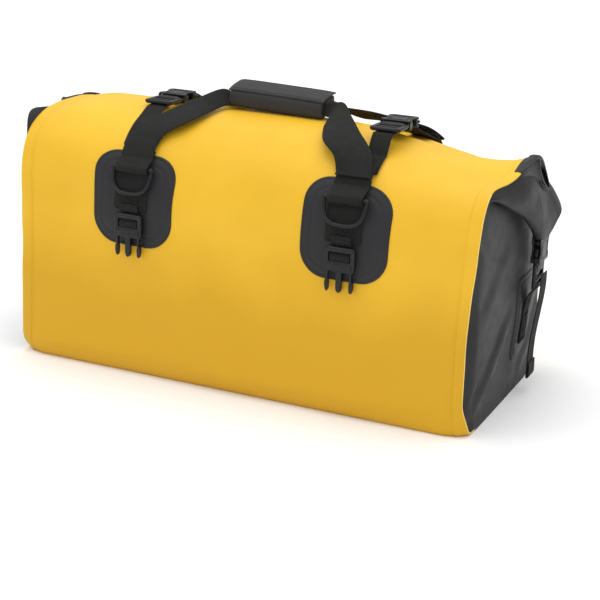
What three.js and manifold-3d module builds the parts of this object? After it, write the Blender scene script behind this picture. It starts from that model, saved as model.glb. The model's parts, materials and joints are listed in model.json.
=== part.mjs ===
// Roll-top dry duffel bag: a welded tarpaulin body on a stiff base board, whose mouth is rolled
// up along the top ridge and held by two straps over the top and one strap at each end.
// Millimetres, +Z up, +X along the bag, the front panel faces -Y, and the origin is under the
// middle of the base.
import * as THREE from "three";
import { mergeVertices } from "three/addons/utils/BufferGeometryUtils.js";
import Module from "manifold-3d";

const wasm = await Module();
wasm.setup();

// ---- Driving dimensions -------------------------------------------------------------------
const LENGTH = 600;              // between the two end seams
const DEPTH = 292;               // front face to rear face
const RIDGE_Z = 320;             // top of the roof
const SHOULDER_Z = 200;          // the walls are upright below this height
const RIDGE_HALF = 20;           // half width of the flat strip along the ridge
const CURVE_POWER = 2.3;         // superellipse power of the roof's section
const SKIN = 2;                  // tarpaulin with its welded seams
const GAP = 0.4;                 // clearance between neighbouring pieces
const BASE_RADIUS = 22;          // rounded lower edge
const BASE_SEAM_Z = 30;          // base panel meets the front and rear panels
const FLAP_Z = 281;              // the roof flaps leave the front and rear panels here
const MOUTH_HALF = 12;           // half the gap between the two roof flaps
const END_RECESS = 2;            // the end panels sit this far inside the end seams

const STATION_X = 140;           // patches, rings and handle ends
const PATCH = { width: 110, bottom: 164, top: 276, corner: 33, thick: 1.2 };
const HANDLE_WEB = 44;           // handle webbing width
const STRAP_WEB = 25;            // strap webbing width
const WEB_THICK = 2.4;
const STRAP_THICK = 1.6;
const RING = { z: 257, offset: 8, wire: 5, width: 57, drop: 32, tilt: 18 };
const LOOP_TUNNEL = 3.9;         // radius of the webbing tunnel that the ring's bar turns in
const LOOP_WALL = 1.6;
const ACCESSORY = { z: 203, offset: 7.2, tunnel: 3.3 };

const STRAP_X = 152;             // the two straps over the top
const TOP_BUCKLE = { y: -30, z: 328 };
const FRONT_STRAP_END = 1.22;    // roof angle where the front half ends, under the plug
const END_BUCKLE = { x: 320, y: 42, z: 167 };
const BUCKLE = { halfWidth: 19, plugThick: 8, socketThick: 12 };

const ROLL = { y: 6, z: 297, a: 34, b: 19, thick: 3, turns: 1.8 };
const HOOD = { near: 301, far: 314 };
const GRIP = { y: -10, z: 342, half: 63 };
const PIVOT_OFFSET = 5.6;        // the handle webbing bends this far outside the panel
const PIVOT_Z = 283;

// ---- Materials ----------------------------------------------------------------------------
const paint = (color, roughness, metalness = 0) =>
  new THREE.MeshStandardMaterial({ color, roughness, metalness });
const yellow = () => paint(0xf0be43, 0.5);
const grey = () => paint(0x4a4b4d, 0.55);
const patchGrey = () => paint(0x38383b, 0.6);
const webBlack = () => paint(0x181916, 0.9);
const plastic = () => paint(0x161617, 0.45);
const gripGrey = () => paint(0x555655, 0.8);
const board = () => paint(0x6a6a66, 0.7);

// ---- The bag's section ----------------------------------------------------------------------
// The front half of the section is an upright wall and a superellipse quarter. A place on it is
// named by its height, or by the angle of the quarter where the curve runs nearly flat.
const HALF = DEPTH / 2;
const SPAN_Y = HALF - RIDGE_HALF;
const SPAN_Z = RIDGE_Z - SHOULDER_Z;

function angleAt(z) {
  const rise = Math.max(0, (z - SHOULDER_Z) / SPAN_Z);
  return Math.asin(rise ** (CURVE_POWER / 2));
}

// Point on the front section at a roof angle, moved outwards. Angle 0 is the shoulder.
function roofPoint(angle, out = 0) {
  const c = Math.cos(angle) ** (2 / CURVE_POWER);
  const s = Math.sin(angle) ** (2 / CURVE_POWER);
  const ny = c ** (CURVE_POWER - 1) / SPAN_Y;
  const nz = s ** (CURVE_POWER - 1) / SPAN_Z;
  const size = Math.hypot(ny, nz);
  return [-(RIDGE_HALF + SPAN_Y * c) - (out * ny) / size, SHOULDER_Z + SPAN_Z * s + (out * nz) / size];
}

function wallPoint(z, out = 0) {
  if (z <= SHOULDER_Z) return [-HALF - out, z];
  return roofPoint(angleAt(z), out);
}

// Points on the roof's curve between two angles. Every run breaks at the same angles, so that
// layers laid on each other stay parallel.
const FACET = Math.PI / 2 / 16;
function roofRun(first, last, out) {
  const points = [roofPoint(first, out)];
  for (let angle = FACET; angle < last - FACET / 4; angle += FACET) {
    if (angle > first + FACET / 4) points.push(roofPoint(angle, out));
  }
  points.push(roofPoint(last, out));
  return points;
}

// Points on the front section from one height up to another, all moved outwards alike.
function wallRun(z0, z1, out) {
  const foot = z0 < SHOULDER_Z ? [wallPoint(z0, out)] : [];
  return [...foot, ...roofRun(angleAt(Math.max(z0, SHOULDER_Z)), angleAt(z1), out)];
}

const toShape = (points) => new THREE.Shape(points.map(([u, v]) => new THREE.Vector2(u, v)));

// A strip that follows the front section between two heights and two offsets.
function stripShape(z0, z1, inner, outer) {
  return toShape([...wallRun(z0, z1, inner), ...wallRun(z0, z1, outer).reverse()]);
}

// ---- Building solids ------------------------------------------------------------------------
const ACROSS = new THREE.Matrix4().makeBasis(
  new THREE.Vector3(0, 1, 0), new THREE.Vector3(0, 0, 1), new THREE.Vector3(1, 0, 0));
const INWARD = new THREE.Matrix4().makeBasis(
  new THREE.Vector3(1, 0, 0), new THREE.Vector3(0, 0, 1), new THREE.Vector3(0, -1, 0));
const CURVES = 6;

// A shape drawn in (y, z), extruded along X from x0 to x1.
function extrudeX(shape, x0, x1) {
  const geometry = new THREE.ExtrudeGeometry(shape, {
    depth: x1 - x0, bevelEnabled: false, curveSegments: CURVES });
  return geometry.applyMatrix4(ACROSS).translate(x0, 0, 0);
}

// A shape drawn in (x, z), extruded along Y from y0 to y1.
function extrudeY(shape, y0, y1) {
  const geometry = new THREE.ExtrudeGeometry(shape, {
    depth: y1 - y0, bevelEnabled: false, curveSegments: CURVES });
  return geometry.applyMatrix4(INWARD).translate(0, y1, 0);
}

// A shape drawn in (x, y), extruded along Z about z = 0.
function extrudeZ(shape, thickness) {
  const geometry = new THREE.ExtrudeGeometry(shape, {
    depth: thickness, bevelEnabled: false, curveSegments: CURVES });
  return geometry.translate(0, 0, -thickness / 2);
}

function box(x0, x1, y0, y1, z0, z1) {
  const geometry = new THREE.BoxGeometry(x1 - x0, y1 - y0, z1 - z0);
  return geometry.translate((x0 + x1) / 2, (y0 + y1) / 2, (z0 + z1) / 2);
}

// A round bar along X through (y, z).
function barX(radius, length, y, z, sides = 16) {
  const geometry = new THREE.CylinderGeometry(radius, radius, length, sides);
  return geometry.rotateZ(Math.PI / 2).translate(0, y, z);
}

function toSolid(geometry) {
  const plain = geometry.clone();
  plain.deleteAttribute("normal");
  plain.deleteAttribute("uv");
  const merged = mergeVertices(plain, 1e-4);
  return new wasm.Manifold(new wasm.Mesh({
    numProp: 3,
    vertProperties: new Float32Array(merged.attributes.position.array),
    triVerts: new Uint32Array(merged.index.array),
  }));
}

function fromSolid(solid) {
  const mesh = solid.getMesh();
  const geometry = new THREE.BufferGeometry();
  geometry.setAttribute("position", new THREE.BufferAttribute(mesh.vertProperties, 3));
  geometry.setIndex(new THREE.BufferAttribute(mesh.triVerts, 1));
  geometry.computeVertexNormals();
  return geometry;
}

// The added pieces joined, less the removed ones.
function carve(added, removed = []) {
  let solid = toSolid(added[0]);
  for (const piece of added.slice(1)) solid = solid.add(toSolid(piece));
  for (const piece of removed) solid = solid.subtract(toSolid(piece));
  return fromSolid(solid);
}

function roundedRect(x0, x1, y0, y1, radius) {
  const shape = new THREE.Shape();
  shape.moveTo(x0 + radius, y0);
  shape.lineTo(x1 - radius, y0);
  shape.absarc(x1 - radius, y0 + radius, radius, -Math.PI / 2, 0);
  shape.lineTo(x1, y1 - radius);
  shape.absarc(x1 - radius, y1 - radius, radius, 0, Math.PI / 2);
  shape.lineTo(x0 + radius, y1);
  shape.absarc(x0 + radius, y1 - radius, radius, Math.PI / 2, Math.PI);
  shape.lineTo(x0, y0 + radius);
  shape.absarc(x0 + radius, y0 + radius, radius, Math.PI, 1.5 * Math.PI);
  return shape;
}

// ---- The scene --------------------------------------------------------------------------------
const bag = new THREE.Group();

function add(name, geometry, material, parent = bag) {
  const mesh = new THREE.Mesh(geometry, material);
  mesh.name = name;
  parent.add(mesh);
  return mesh;
}

// A frame that faces the front (-Y) or, turned half round, the rear.
function facing(side, x = 0) {
  const group = new THREE.Group();
  group.position.x = x;
  if (side === "rear") group.rotation.z = Math.PI;
  bag.add(group);
  return group;
}

const SIDES = ["front", "rear"];
const ENDS = [["left", -1], ["right", 1]];

// ---- Panels -------------------------------------------------------------------------------------
function basePanel() {
  const r = BASE_RADIUS;
  const shape = new THREE.Shape();
  shape.moveTo(-HALF, BASE_SEAM_Z);
  shape.lineTo(-HALF, r);
  shape.absarc(-HALF + r, r, r, Math.PI, 1.5 * Math.PI);
  shape.lineTo(HALF - r, 0);
  shape.absarc(HALF - r, r, r, -Math.PI / 2, 0);
  shape.lineTo(HALF, BASE_SEAM_Z);
  shape.lineTo(HALF - SKIN, BASE_SEAM_Z);
  shape.lineTo(HALF - SKIN, r);
  shape.absarc(HALF - r, r, r - SKIN, 0, -Math.PI / 2, true);
  shape.lineTo(-HALF + r, SKIN);
  shape.absarc(-HALF + r, r, r - SKIN, -Math.PI / 2, -Math.PI, true);
  shape.lineTo(-HALF + SKIN, BASE_SEAM_Z);
  return extrudeX(shape, -LENGTH / 2, LENGTH / 2);
}

function roofFlap() {
  const start = angleAt(FLAP_Z) + 0.006;
  const run = (out) => [...roofRun(start, Math.PI / 2, out), [-MOUTH_HALF, RIDGE_Z + out]];
  return extrudeX(toShape([...run(0), ...run(-SKIN).reverse()]), -LENGTH / 2, LENGTH / 2);
}

// The whole section, inset so that the panel sits inside the skin.
function endPanel(x0) {
  const inset = SKIN + GAP;
  const r = BASE_RADIUS - inset;
  const front = wallRun(SHOULDER_Z, RIDGE_Z, -inset);
  const rear = front.map(([y, z]) => [-y, z]).reverse();
  const shape = new THREE.Shape();
  shape.moveTo(-HALF + inset + r, inset);
  shape.lineTo(HALF - inset - r, inset);
  shape.absarc(HALF - inset - r, inset + r, r, -Math.PI / 2, 0);
  for (const [y, z] of [...rear].reverse()) shape.lineTo(y, z);
  for (const [y, z] of [...front].reverse()) shape.lineTo(y, z);
  shape.lineTo(-HALF + inset, inset + r);
  shape.absarc(-HALF + inset + r, inset + r, r, Math.PI, 1.5 * Math.PI);
  return extrudeX(shape, x0, x0 + SKIN);
}

add("base_panel", basePanel(), yellow());
for (const side of SIDES) {
  const frame = facing(side);
  const wall = stripShape(BASE_SEAM_Z + GAP, FLAP_Z, -SKIN, 0);
  add(`${side}_panel`, extrudeX(wall, -LENGTH / 2, LENGTH / 2), yellow(), frame);
  add(`${side}_roof`, roofFlap(), yellow(), frame);
}
for (const [end, sign] of ENDS) {
  const outer = sign * (LENGTH / 2 - END_RECESS);
  add(`end_panel_${end}`, endPanel(Math.min(outer, outer - sign * SKIN)), grey());
}
const BOARD = { halfLength: LENGTH / 2 - 13, halfDepth: HALF - BASE_RADIUS - 2, thick: 4 };
add("base_board", box(-BOARD.halfLength, BOARD.halfLength, -BOARD.halfDepth, BOARD.halfDepth,
  SKIN + GAP, SKIN + GAP + BOARD.thick), board());

// ---- Rolled closure -------------------------------------------------------------------------------
// A flattened spiral of the mouth's two layers round a stiff strip.
function rollSection() {
  const steps = 44;
  const outer = [];
  const inner = [];
  for (let i = 0; i <= steps; i += 1) {
    const turn = ROLL.turns * (i / steps);
    const angle = Math.PI + 2 * Math.PI * turn;
    const shrink = 6.4 * turn;
    const a = ROLL.a - shrink;
    const b = ROLL.b - shrink;
    outer.push([ROLL.y + a * Math.cos(angle), ROLL.z - b * Math.sin(angle)]);
    inner.push([ROLL.y + (a - ROLL.thick) * Math.cos(angle),
      ROLL.z - (b - ROLL.thick) * Math.sin(angle)]);
  }
  return toShape([...outer, ...inner.reverse()]);
}
const ROLL_END = LENGTH / 2 - END_RECESS - SKIN - 2;
add("closure_roll", extrudeX(rollSection(), -ROLL_END, ROLL_END), yellow());
const STIFFENER = { half: 12, thick: 2 };
add("mouth_stiffener", box(-ROLL_END + 4, ROLL_END - 4, ROLL.y - STIFFENER.half,
  ROLL.y + STIFFENER.half, ROLL.z - STIFFENER.thick / 2, ROLL.z + STIFFENER.thick / 2), plastic());

// The roll's end turned down over the end panel: a gusset that narrows to the end strap, and the
// roll's open end standing out above it.
function rollEnd(sign) {
  const y = END_BUCKLE.y;
  const gusset = toShape([
    [-122, 272], [-64, 294], [-20, 302], [20, 302], [64, 294], [122, 272],
    [y + 30, 222], [y + 22, 203], [y - 22, 203], [y - 44, 228]]);
  const rim = new THREE.Shape();
  rim.absellipse(ROLL.y + 6, 285, 33, 17, 0, 2 * Math.PI, false, -0.35);
  const [x0, x1] = sign > 0 ? [HOOD.near, HOOD.far] : [-HOOD.far, -HOOD.near];
  const [m0, m1] = sign > 0 ? [HOOD.near, HOOD.far + 9] : [-HOOD.far - 9, -HOOD.near];
  const mouth = new THREE.Shape();
  mouth.absellipse(ROLL.y + 6, 285, 27, 11, 0, 2 * Math.PI, false, -0.35);
  const depth = sign > 0 ? [HOOD.near + 5, HOOD.far + 12] : [-HOOD.far - 12, -HOOD.near - 5];
  return carve([extrudeX(gusset, x0, x1), extrudeX(rim, m0, m1)], [extrudeX(mouth, ...depth)]);
}
for (const [end, sign] of ENDS) add(`roll_end_${end}`, rollEnd(sign), grey());

// ---- Patches, webbing, rings and accessory plugs -------------------------------------------------
function patch() {
  const { width, bottom, top, corner, thick } = PATCH;
  const plate = extrudeX(stripShape(bottom, top, GAP, GAP + thick), -width / 2, width / 2);
  const outline = roundedRect(-width / 2, width / 2, bottom, top, corner);
  const cutter = extrudeY(outline, -HALF - 20, 0);
  return fromSolid(toSolid(plate).intersect(toSolid(cutter)));
}

const ANCHOR = { bottom: 209, top: 280, inner: 2 * GAP + PATCH.thick };
const ringCentre = wallPoint(RING.z, RING.offset);
const plugCentre = wallPoint(ACCESSORY.z, ACCESSORY.offset);

// Webbing sewn over the patch, with a tunnel across it for a bar.
function loopedWeb(width, z0, z1, [y, z], tunnel) {
  const inner = ANCHOR.inner;
  const strip = extrudeX(stripShape(z0, z1, inner, inner + WEB_THICK), -width / 2, width / 2);
  const sleeve = barX(tunnel + LOOP_WALL, width, y, z);
  return carve([strip, sleeve], [barX(tunnel, width + 2, y, z)]);
}

// A ring with its straight bar along X at the origin and its bow hanging down.
function dRing() {
  const { width, drop, wire } = RING;
  const bow = (half, depth) => {
    const shape = new THREE.Shape();
    shape.moveTo(-half, 0);
    shape.bezierCurveTo(-half, -depth * 1.15, -half * 0.55, -depth, 0, -depth);
    shape.bezierCurveTo(half * 0.55, -depth, half, -depth * 1.15, half, 0);
    return shape;
  };
  const outer = bow(width / 2, drop);
  outer.lineTo(width / 2, wire / 2);
  outer.lineTo(-width / 2, wire / 2);
  const hole = bow(width / 2 - wire, drop - wire);
  const ring = carve([extrudeY(outer, -wire / 2, wire / 2)],
    [extrudeY(hole, -wire, wire).translate(0, 0, -wire / 2)]);
  return ring;
}

// One half of a side-release buckle. The plug's prongs point along +Y from its shoulder at y = 0.
function prongs(reach) {
  const arm = (sign) => toShape([
    [sign * 10.5, -1], [sign * 14, -1], [sign * 14, 5], [sign * 16, 7], [sign * 15.4, 12],
    [sign * 12.5, reach], [sign * 10.5, reach - 3]]);
  const guide = toShape([[-2.5, -1], [2.5, -1], [2.5, reach - 5], [1.2, reach - 3],
    [-1.2, reach - 3], [-2.5, reach - 5]]);
  return [arm(-1), arm(1), guide].map((shape) => extrudeZ(shape, 5));
}

const SLOT = STRAP_WEB / 2 + 1.2;
// A ladder plug: the strap goes round its middle bar.
function ladderPlug() {
  const half = BUCKLE.halfWidth;
  const frame = extrudeZ(roundedRect(-half, half, -34, 0, 3), BUCKLE.plugThick);
  const slots = [[-30, -25], [-20, -13]].map(([y0, y1]) => box(-SLOT, SLOT, y0, y1, -9, 9));
  return carve([frame, ...prongs(20)], slots);
}

// An accessory plug: two side rails carry the round bar that hangs in a webbing tunnel, 27 mm
// behind the shoulder.
const RAIL = 27;
function accessoryPlug() {
  const half = BUCKLE.halfWidth;
  const frame = extrudeZ(roundedRect(-half, half, -RAIL - 3, 0, 3), 7);
  const window = box(-SLOT, SLOT, -RAIL - 5, -13, -9, 9);
  const bar = barX(2, 2 * half - 4, -RAIL, 0, 12);
  return carve([fromSolid(toSolid(frame).subtract(toSolid(window))), bar, ...prongs(25)]);
}

// The socket: a sleeve open towards -Y, side windows for the prongs, and a bar for the webbing.
function socket() {
  const half = BUCKLE.halfWidth;
  const body = extrudeZ(roundedRect(-half, half, 0.6, 36, 4), BUCKLE.socketThick);
  const cavity = box(-half + 2.2, half - 2.2, -1, 23, -3.6, 3.6);
  const windows = box(-half - 1, half + 1, 6, 15, -3.6, 3.6);
  const slot = box(-SLOT, SLOT, 26, 32, -9, 9);
  return carve([body], [cavity, windows, slot]);
}

for (const side of SIDES) {
  for (const [end, sign] of ENDS) {
    const x = sign * STATION_X;
    const frame = facing(side, x);
    const tag = `${side}_${end}`;
    add(`patch_${tag}`, patch(), patchGrey(), frame);
    add(`anchor_webbing_${tag}`,
      loopedWeb(HANDLE_WEB, ANCHOR.bottom, ANCHOR.top, ringCentre, LOOP_TUNNEL), webBlack(), frame);
    add(`accessory_loop_${tag}`,
      loopedWeb(STRAP_WEB, 190, ANCHOR.bottom - GAP, plugCentre, ACCESSORY.tunnel), webBlack(), frame);
    const ring = add(`d_ring_${tag}`, dRing(), plastic(), frame);
    ring.position.set(0, ...ringCentre);
    ring.rotation.x = THREE.MathUtils.degToRad(-RING.tilt);
    const plug = add(`accessory_plug_${tag}`, accessoryPlug().translate(0, RAIL, 0), plastic(), frame);
    plug.position.set(0, ...plugCentre);
    plug.rotation.x = -Math.PI / 2;
  }
}

// ---- Straps and buckles over the top ---------------------------------------------------------------
const LAP = { inner: GAP, outer: GAP + STRAP_THICK };
function roofStrap(lastAngle, toY) {
  const start = angleAt(FLAP_Z) + 0.02;
  const run = (out) => [...roofRun(start, lastAngle, out), ...toY.map((y) => [y, RIDGE_Z + out])];
  return extrudeX(toShape([...run(LAP.inner), ...run(LAP.outer).reverse()]),
    -STRAP_WEB / 2, STRAP_WEB / 2);
}

for (const [end, sign] of ENDS) {
  const x = sign * STRAP_X;
  add(`top_strap_front_${end}`, roofStrap(FRONT_STRAP_END, []), webBlack(), facing("front", x));
  add(`top_strap_rear_${end}`, roofStrap(Math.PI / 2, [-MOUTH_HALF]), webBlack(), facing("rear", x));
  const buckle = new THREE.Group();
  buckle.position.set(x, TOP_BUCKLE.y, TOP_BUCKLE.z);
  bag.add(buckle);
  add(`top_plug_${end}`, ladderPlug(), plastic(), buckle);
  add(`top_socket_${end}`, socket(), plastic(), buckle);
}

// ---- Straps and buckles at the ends -----------------------------------------------------------------
// Everything at an end is drawn for the right end and turned half round for the left one, where the
// strap then stands on the other side of the middle, so the left one is moved back across.
const END_PATCH = { half: 35, bottom: 42, top: 150, corner: 14, thick: 1.2 };
const TAIL = { x: 326.6, top: 154, bottom: 29, fold: 14 };

function endFrame(sign) {
  const group = new THREE.Group();
  if (sign < 0) group.rotation.z = Math.PI;
  group.position.y = END_BUCKLE.y;
  bag.add(group);
  return group;
}

function endStrapLower() {
  const x0 = LENGTH / 2 + GAP;
  const t = STRAP_THICK;
  return extrudeY(toShape([
    [x0, 62], [x0 + t, 62], [x0 + t, 100], [313.2, 128], [313.2, 140], [313.2 - t, 140],
    [313.2 - t, 128.6], [x0, 100.6]]), -STRAP_WEB / 2, STRAP_WEB / 2);
}

function endStrapUpper() {
  const x0 = HOOD.far + GAP;
  return box(x0, x0 + STRAP_THICK, -STRAP_WEB / 2, STRAP_WEB / 2, END_BUCKLE.z + 37, 246);
}

// The loose end of the webbing, folded back on itself at the tip.
function endTail() {
  const { x, top, bottom, fold } = TAIL;
  const t = STRAP_THICK;
  return extrudeY(toShape([[x, top], [x, bottom], [x + 2 * t, bottom], [x + 2 * t, bottom + fold],
    [x + t, bottom + fold + 2], [x + t, top]]), -STRAP_WEB / 2, STRAP_WEB / 2);
}

for (const [end, sign] of ENDS) {
  const frame = endFrame(sign);
  const face = LENGTH / 2 - END_RECESS + GAP;
  add(`end_patch_${end}`, extrudeX(roundedRect(-END_PATCH.half, END_PATCH.half, END_PATCH.bottom,
    END_PATCH.top, END_PATCH.corner), face, face + END_PATCH.thick), patchGrey(), frame);
  add(`end_strap_lower_${end}`, endStrapLower(), webBlack(), frame);
  add(`end_strap_upper_${end}`, endStrapUpper(), webBlack(), frame);
  const buckle = new THREE.Group();
  buckle.position.set(END_BUCKLE.x, 0, END_BUCKLE.z);
  buckle.setRotationFromMatrix(ACROSS);
  frame.add(buckle);
  add(`end_plug_${end}`, ladderPlug(), plastic(), buckle);
  add(`end_socket_${end}`, socket(), plastic(), buckle);
  add(`end_tail_${end}`, endTail(), webBlack(), frame);
}

// ---- Handles ------------------------------------------------------------------------------------------
// A band lofted through stations, each with a centre, half its width as a vector and half its
// thickness. The band's normal is square to its run and its width.
function band(stations) {
  const centres = stations.map((s) => new THREE.Vector3(...s.at));
  const vertices = [];
  stations.forEach((station, i) => {
    const before = centres[Math.max(0, i - 1)];
    const after = centres[Math.min(centres.length - 1, i + 1)];
    const across = new THREE.Vector3(...station.across);
    const run = after.clone().sub(before);
    const normal = run.cross(across).normalize().multiplyScalar(station.thick / 2);
    for (const [a, n] of [[1, 1], [-1, 1], [-1, -1], [1, -1]]) {
      const corner = centres[i].clone().addScaledVector(across, a).addScaledVector(normal, n);
      vertices.push(corner.x, corner.y, corner.z);
    }
  });
  const faces = [0, 2, 1, 0, 3, 2];
  for (let i = 0; i < stations.length - 1; i += 1) {
    for (let k = 0; k < 4; k += 1) {
      const a = 4 * i + k;
      const b = 4 * i + ((k + 1) % 4);
      // The two wide sides share their diagonals, so a twisted run keeps its thickness.
      if (k < 2) faces.push(a, b, b + 4, a, b + 4, a + 4);
      else faces.push(a, b, a + 4, b, b + 4, a + 4);
    }
  }
  const last = 4 * (stations.length - 1);
  faces.push(last, last + 1, last + 2, last, last + 2, last + 3);
  const geometry = new THREE.BufferGeometry();
  geometry.setAttribute("position", new THREE.Float32BufferAttribute(vertices, 3));
  geometry.setIndex(faces);
  geometry.computeVertexNormals();
  return geometry;
}

const pivot = wallPoint(PIVOT_Z, PIVOT_OFFSET);

// Handle webbing from one station's patch over the shoulder to the grip and down to the other.
// The legs narrow towards the grip, where the webbing is folded lengthways.
function handleBand(midY, midZ, midAcross) {
  const y = (share) => pivot[0] + (midY - pivot[0]) * share;
  const leg = [
    { at: [-STATION_X, pivot[0], pivot[1]], across: [HANDLE_WEB / 2, 0, 0], thick: WEB_THICK },
    { at: [-131, y(0.16), 306], across: [21, -6, -3], thick: WEB_THICK },
    { at: [-108, y(0.37), 321], across: [17, -13, -4], thick: WEB_THICK },
    { at: [-90, y(0.66), 332], across: [13, -12, 1], thick: WEB_THICK },
    { at: [-76, y(0.93), 340], across: [6, -8, 5], thick: 3 },
    { at: [-GRIP.half - 2, midY, midZ], across: midAcross, thick: 3.6 },
  ];
  const other = leg.map((station) => ({
    at: [-station.at[0], station.at[1], station.at[2]],
    across: [-station.across[0], station.across[1], station.across[2]],
    thick: station.thick,
  }));
  return band([...leg, ...other.reverse()]);
}

// The padded wrap's three pieces, drawn about its own middle.
const GRIP_FRONT = [[-17.6, 12.9], [-20, 11.5], [-21, 9], [-21, -6.5], [-19, -11], [-14.5, -13],
  [-3.6, -13], [-5, -10.4], [-13.6, -10.4], [-17, -9], [-18.5, -6], [-18.5, 8.6], [-16.4, 10.6]];
const GRIP_REAR = [[-2.4, -13], [14.5, -13], [19, -11], [21, -6.5], [21, 6.6], [18.6, 6.6],
  [18.5, -6], [17, -9], [13.6, -10.4], [-3.8, -10.4]];
const GRIP_TOP = [[-16.2, 13], [14.5, 13], [19, 11.2], [21, 8], [18.6, 8], [17.2, 9.3],
  [13.6, 10.6], [-14.9, 10.6]];
const gripPiece = (outline) => extrudeX(
  toShape(outline.map(([y, z]) => [y + GRIP.y, z + GRIP.z])), -GRIP.half, GRIP.half);

add("handle_webbing_front", handleBand(GRIP.y - 15.9, GRIP.z - 0.5, [0, 0, 6]), webBlack(),
  facing("front"));
add("handle_webbing_rear", handleBand(-(GRIP.y + 3), GRIP.z, [0, -10, 0]), webBlack(),
  facing("rear"));
add("grip_front", gripPiece(GRIP_FRONT), gripGrey());
add("grip_rear", gripPiece(GRIP_REAR), gripGrey());
add("grip_flap", gripPiece(GRIP_TOP), gripGrey());

export default bag;
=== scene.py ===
"""Roll-top duffel bag: the visual model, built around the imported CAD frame.

Lengths are in millimetres until make_piece() turns them into metres. +Z is up, the front
panel faces -Y, and x runs along the bag.
"""

import json
import math

import bmesh
import bpy
import numpy as np
from mathutils import Matrix, Vector


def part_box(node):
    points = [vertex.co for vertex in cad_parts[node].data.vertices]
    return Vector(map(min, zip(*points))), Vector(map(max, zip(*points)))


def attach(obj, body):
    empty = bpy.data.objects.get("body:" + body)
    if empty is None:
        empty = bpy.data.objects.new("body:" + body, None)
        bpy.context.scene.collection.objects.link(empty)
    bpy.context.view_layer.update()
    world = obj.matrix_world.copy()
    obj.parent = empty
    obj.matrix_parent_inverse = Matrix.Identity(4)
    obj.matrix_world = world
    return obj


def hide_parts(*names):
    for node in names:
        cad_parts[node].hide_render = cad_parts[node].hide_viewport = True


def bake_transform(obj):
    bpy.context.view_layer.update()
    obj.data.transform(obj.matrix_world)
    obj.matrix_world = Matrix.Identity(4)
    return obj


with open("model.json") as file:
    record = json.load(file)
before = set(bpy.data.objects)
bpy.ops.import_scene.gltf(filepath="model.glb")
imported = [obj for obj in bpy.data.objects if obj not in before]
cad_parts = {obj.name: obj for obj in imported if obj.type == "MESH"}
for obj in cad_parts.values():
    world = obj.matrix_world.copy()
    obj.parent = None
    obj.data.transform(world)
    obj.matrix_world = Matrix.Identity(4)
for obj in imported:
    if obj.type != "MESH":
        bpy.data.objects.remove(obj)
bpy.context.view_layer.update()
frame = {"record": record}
MM = 0.001


# ---- Driving sizes, read from the frame where it holds them ----
def box_mm(node):
    """The low and high corners of a CAD node's box."""
    low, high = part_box(node)
    return np.array(low) / MM, np.array(high) / MM


PANEL_LOW, PANEL_HIGH = box_mm("front_panel")
HALF_LENGTH = PANEL_HIGH[0]                  # end seams at x = +-300
HALF_DEPTH = -PANEL_LOW[1]                   # walls at y = +-146
RIDGE = box_mm("front_roof")[1][2]           # top of the roof, z = 320
SHOULDER = 200.0                             # the walls are upright below this height
RIDGE_HALF = 20.0                            # half width of the flat strip along the ridge
HINGE_Y = 120.5                              # the roof halves turn about y = +-HINGE_Y
HINGE_Z = 281.0
CLOTH = 1.3                                  # thickness of the tarpaulin
STATION = 140.0                              # patches, rings and handle ends at x = +-STATION
STRAP_X = 152.0                              # the two straps over the top
WEB = 44.0                                   # handle webbing
STRAP = 25.0                                 # strap webbing
STRAP_THICK = 1.5

rng = np.random.default_rng(11)


# ---- Small maths ----
def smooth(value, low, high):
    """0 below low, 1 above high, and a smooth step between them."""
    t = np.clip((np.asarray(value, float) - low) / (high - low), 0, 1)
    return t * t * (3 - 2 * t)


def curve(points, count, closed=False):
    """count points along a Catmull-Rom curve through the given points, evenly spaced."""
    p = np.asarray(points, float)
    if closed:
        p = np.vstack([p[-1:], p, p[:2]])
    else:
        p = np.vstack([2 * p[0] - p[1], p, 2 * p[-1] - p[-2]])
    dense = []
    t = np.linspace(0, 1, 24, endpoint=False)[:, None]
    for a, b, c, d in zip(p[:-3], p[1:-2], p[2:-1], p[3:]):
        dense.append(0.5 * (2 * b + (c - a) * t + (2 * a - 5 * b + 4 * c - d) * t ** 2
                            + (3 * b - a - 3 * c + d) * t ** 3))
    return spaced(np.vstack(dense + [p[-2:-1]]), count, closed)


def unit(vectors):
    v = np.asarray(vectors, float)
    return v / np.maximum(np.linalg.norm(v, axis=-1, keepdims=True), 1e-9)


def lengths(points):
    """Distance run along a line of points, starting at 0."""
    return np.r_[0, np.cumsum(np.linalg.norm(np.diff(points, axis=0), axis=1))]


def spaced(points, count, closed=False):
    """count evenly spaced points along a line of points."""
    run = lengths(points)
    at = np.linspace(0, run[-1], count, endpoint=not closed)
    return np.stack([np.interp(at, run, column) for column in np.transpose(points)], 1)


class Waves:
    """Smooth seeded unevenness of a plane: a sum of sine waves with random directions."""

    def __init__(self, size, count=7):
        angle = rng.uniform(0, math.pi, count)
        length = size * rng.uniform(0.7, 1.6, count)
        self.k = 2 * math.pi / length * np.array([np.cos(angle), np.sin(angle)])
        self.phase = rng.uniform(0, 2 * math.pi, count)
        self.count = count

    def __call__(self, u, v):
        total = 0
        for i in range(self.count):
            total = total + np.sin(self.k[0, i] * u + self.k[1, i] * v + self.phase[i])
        return total / math.sqrt(self.count)


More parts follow.
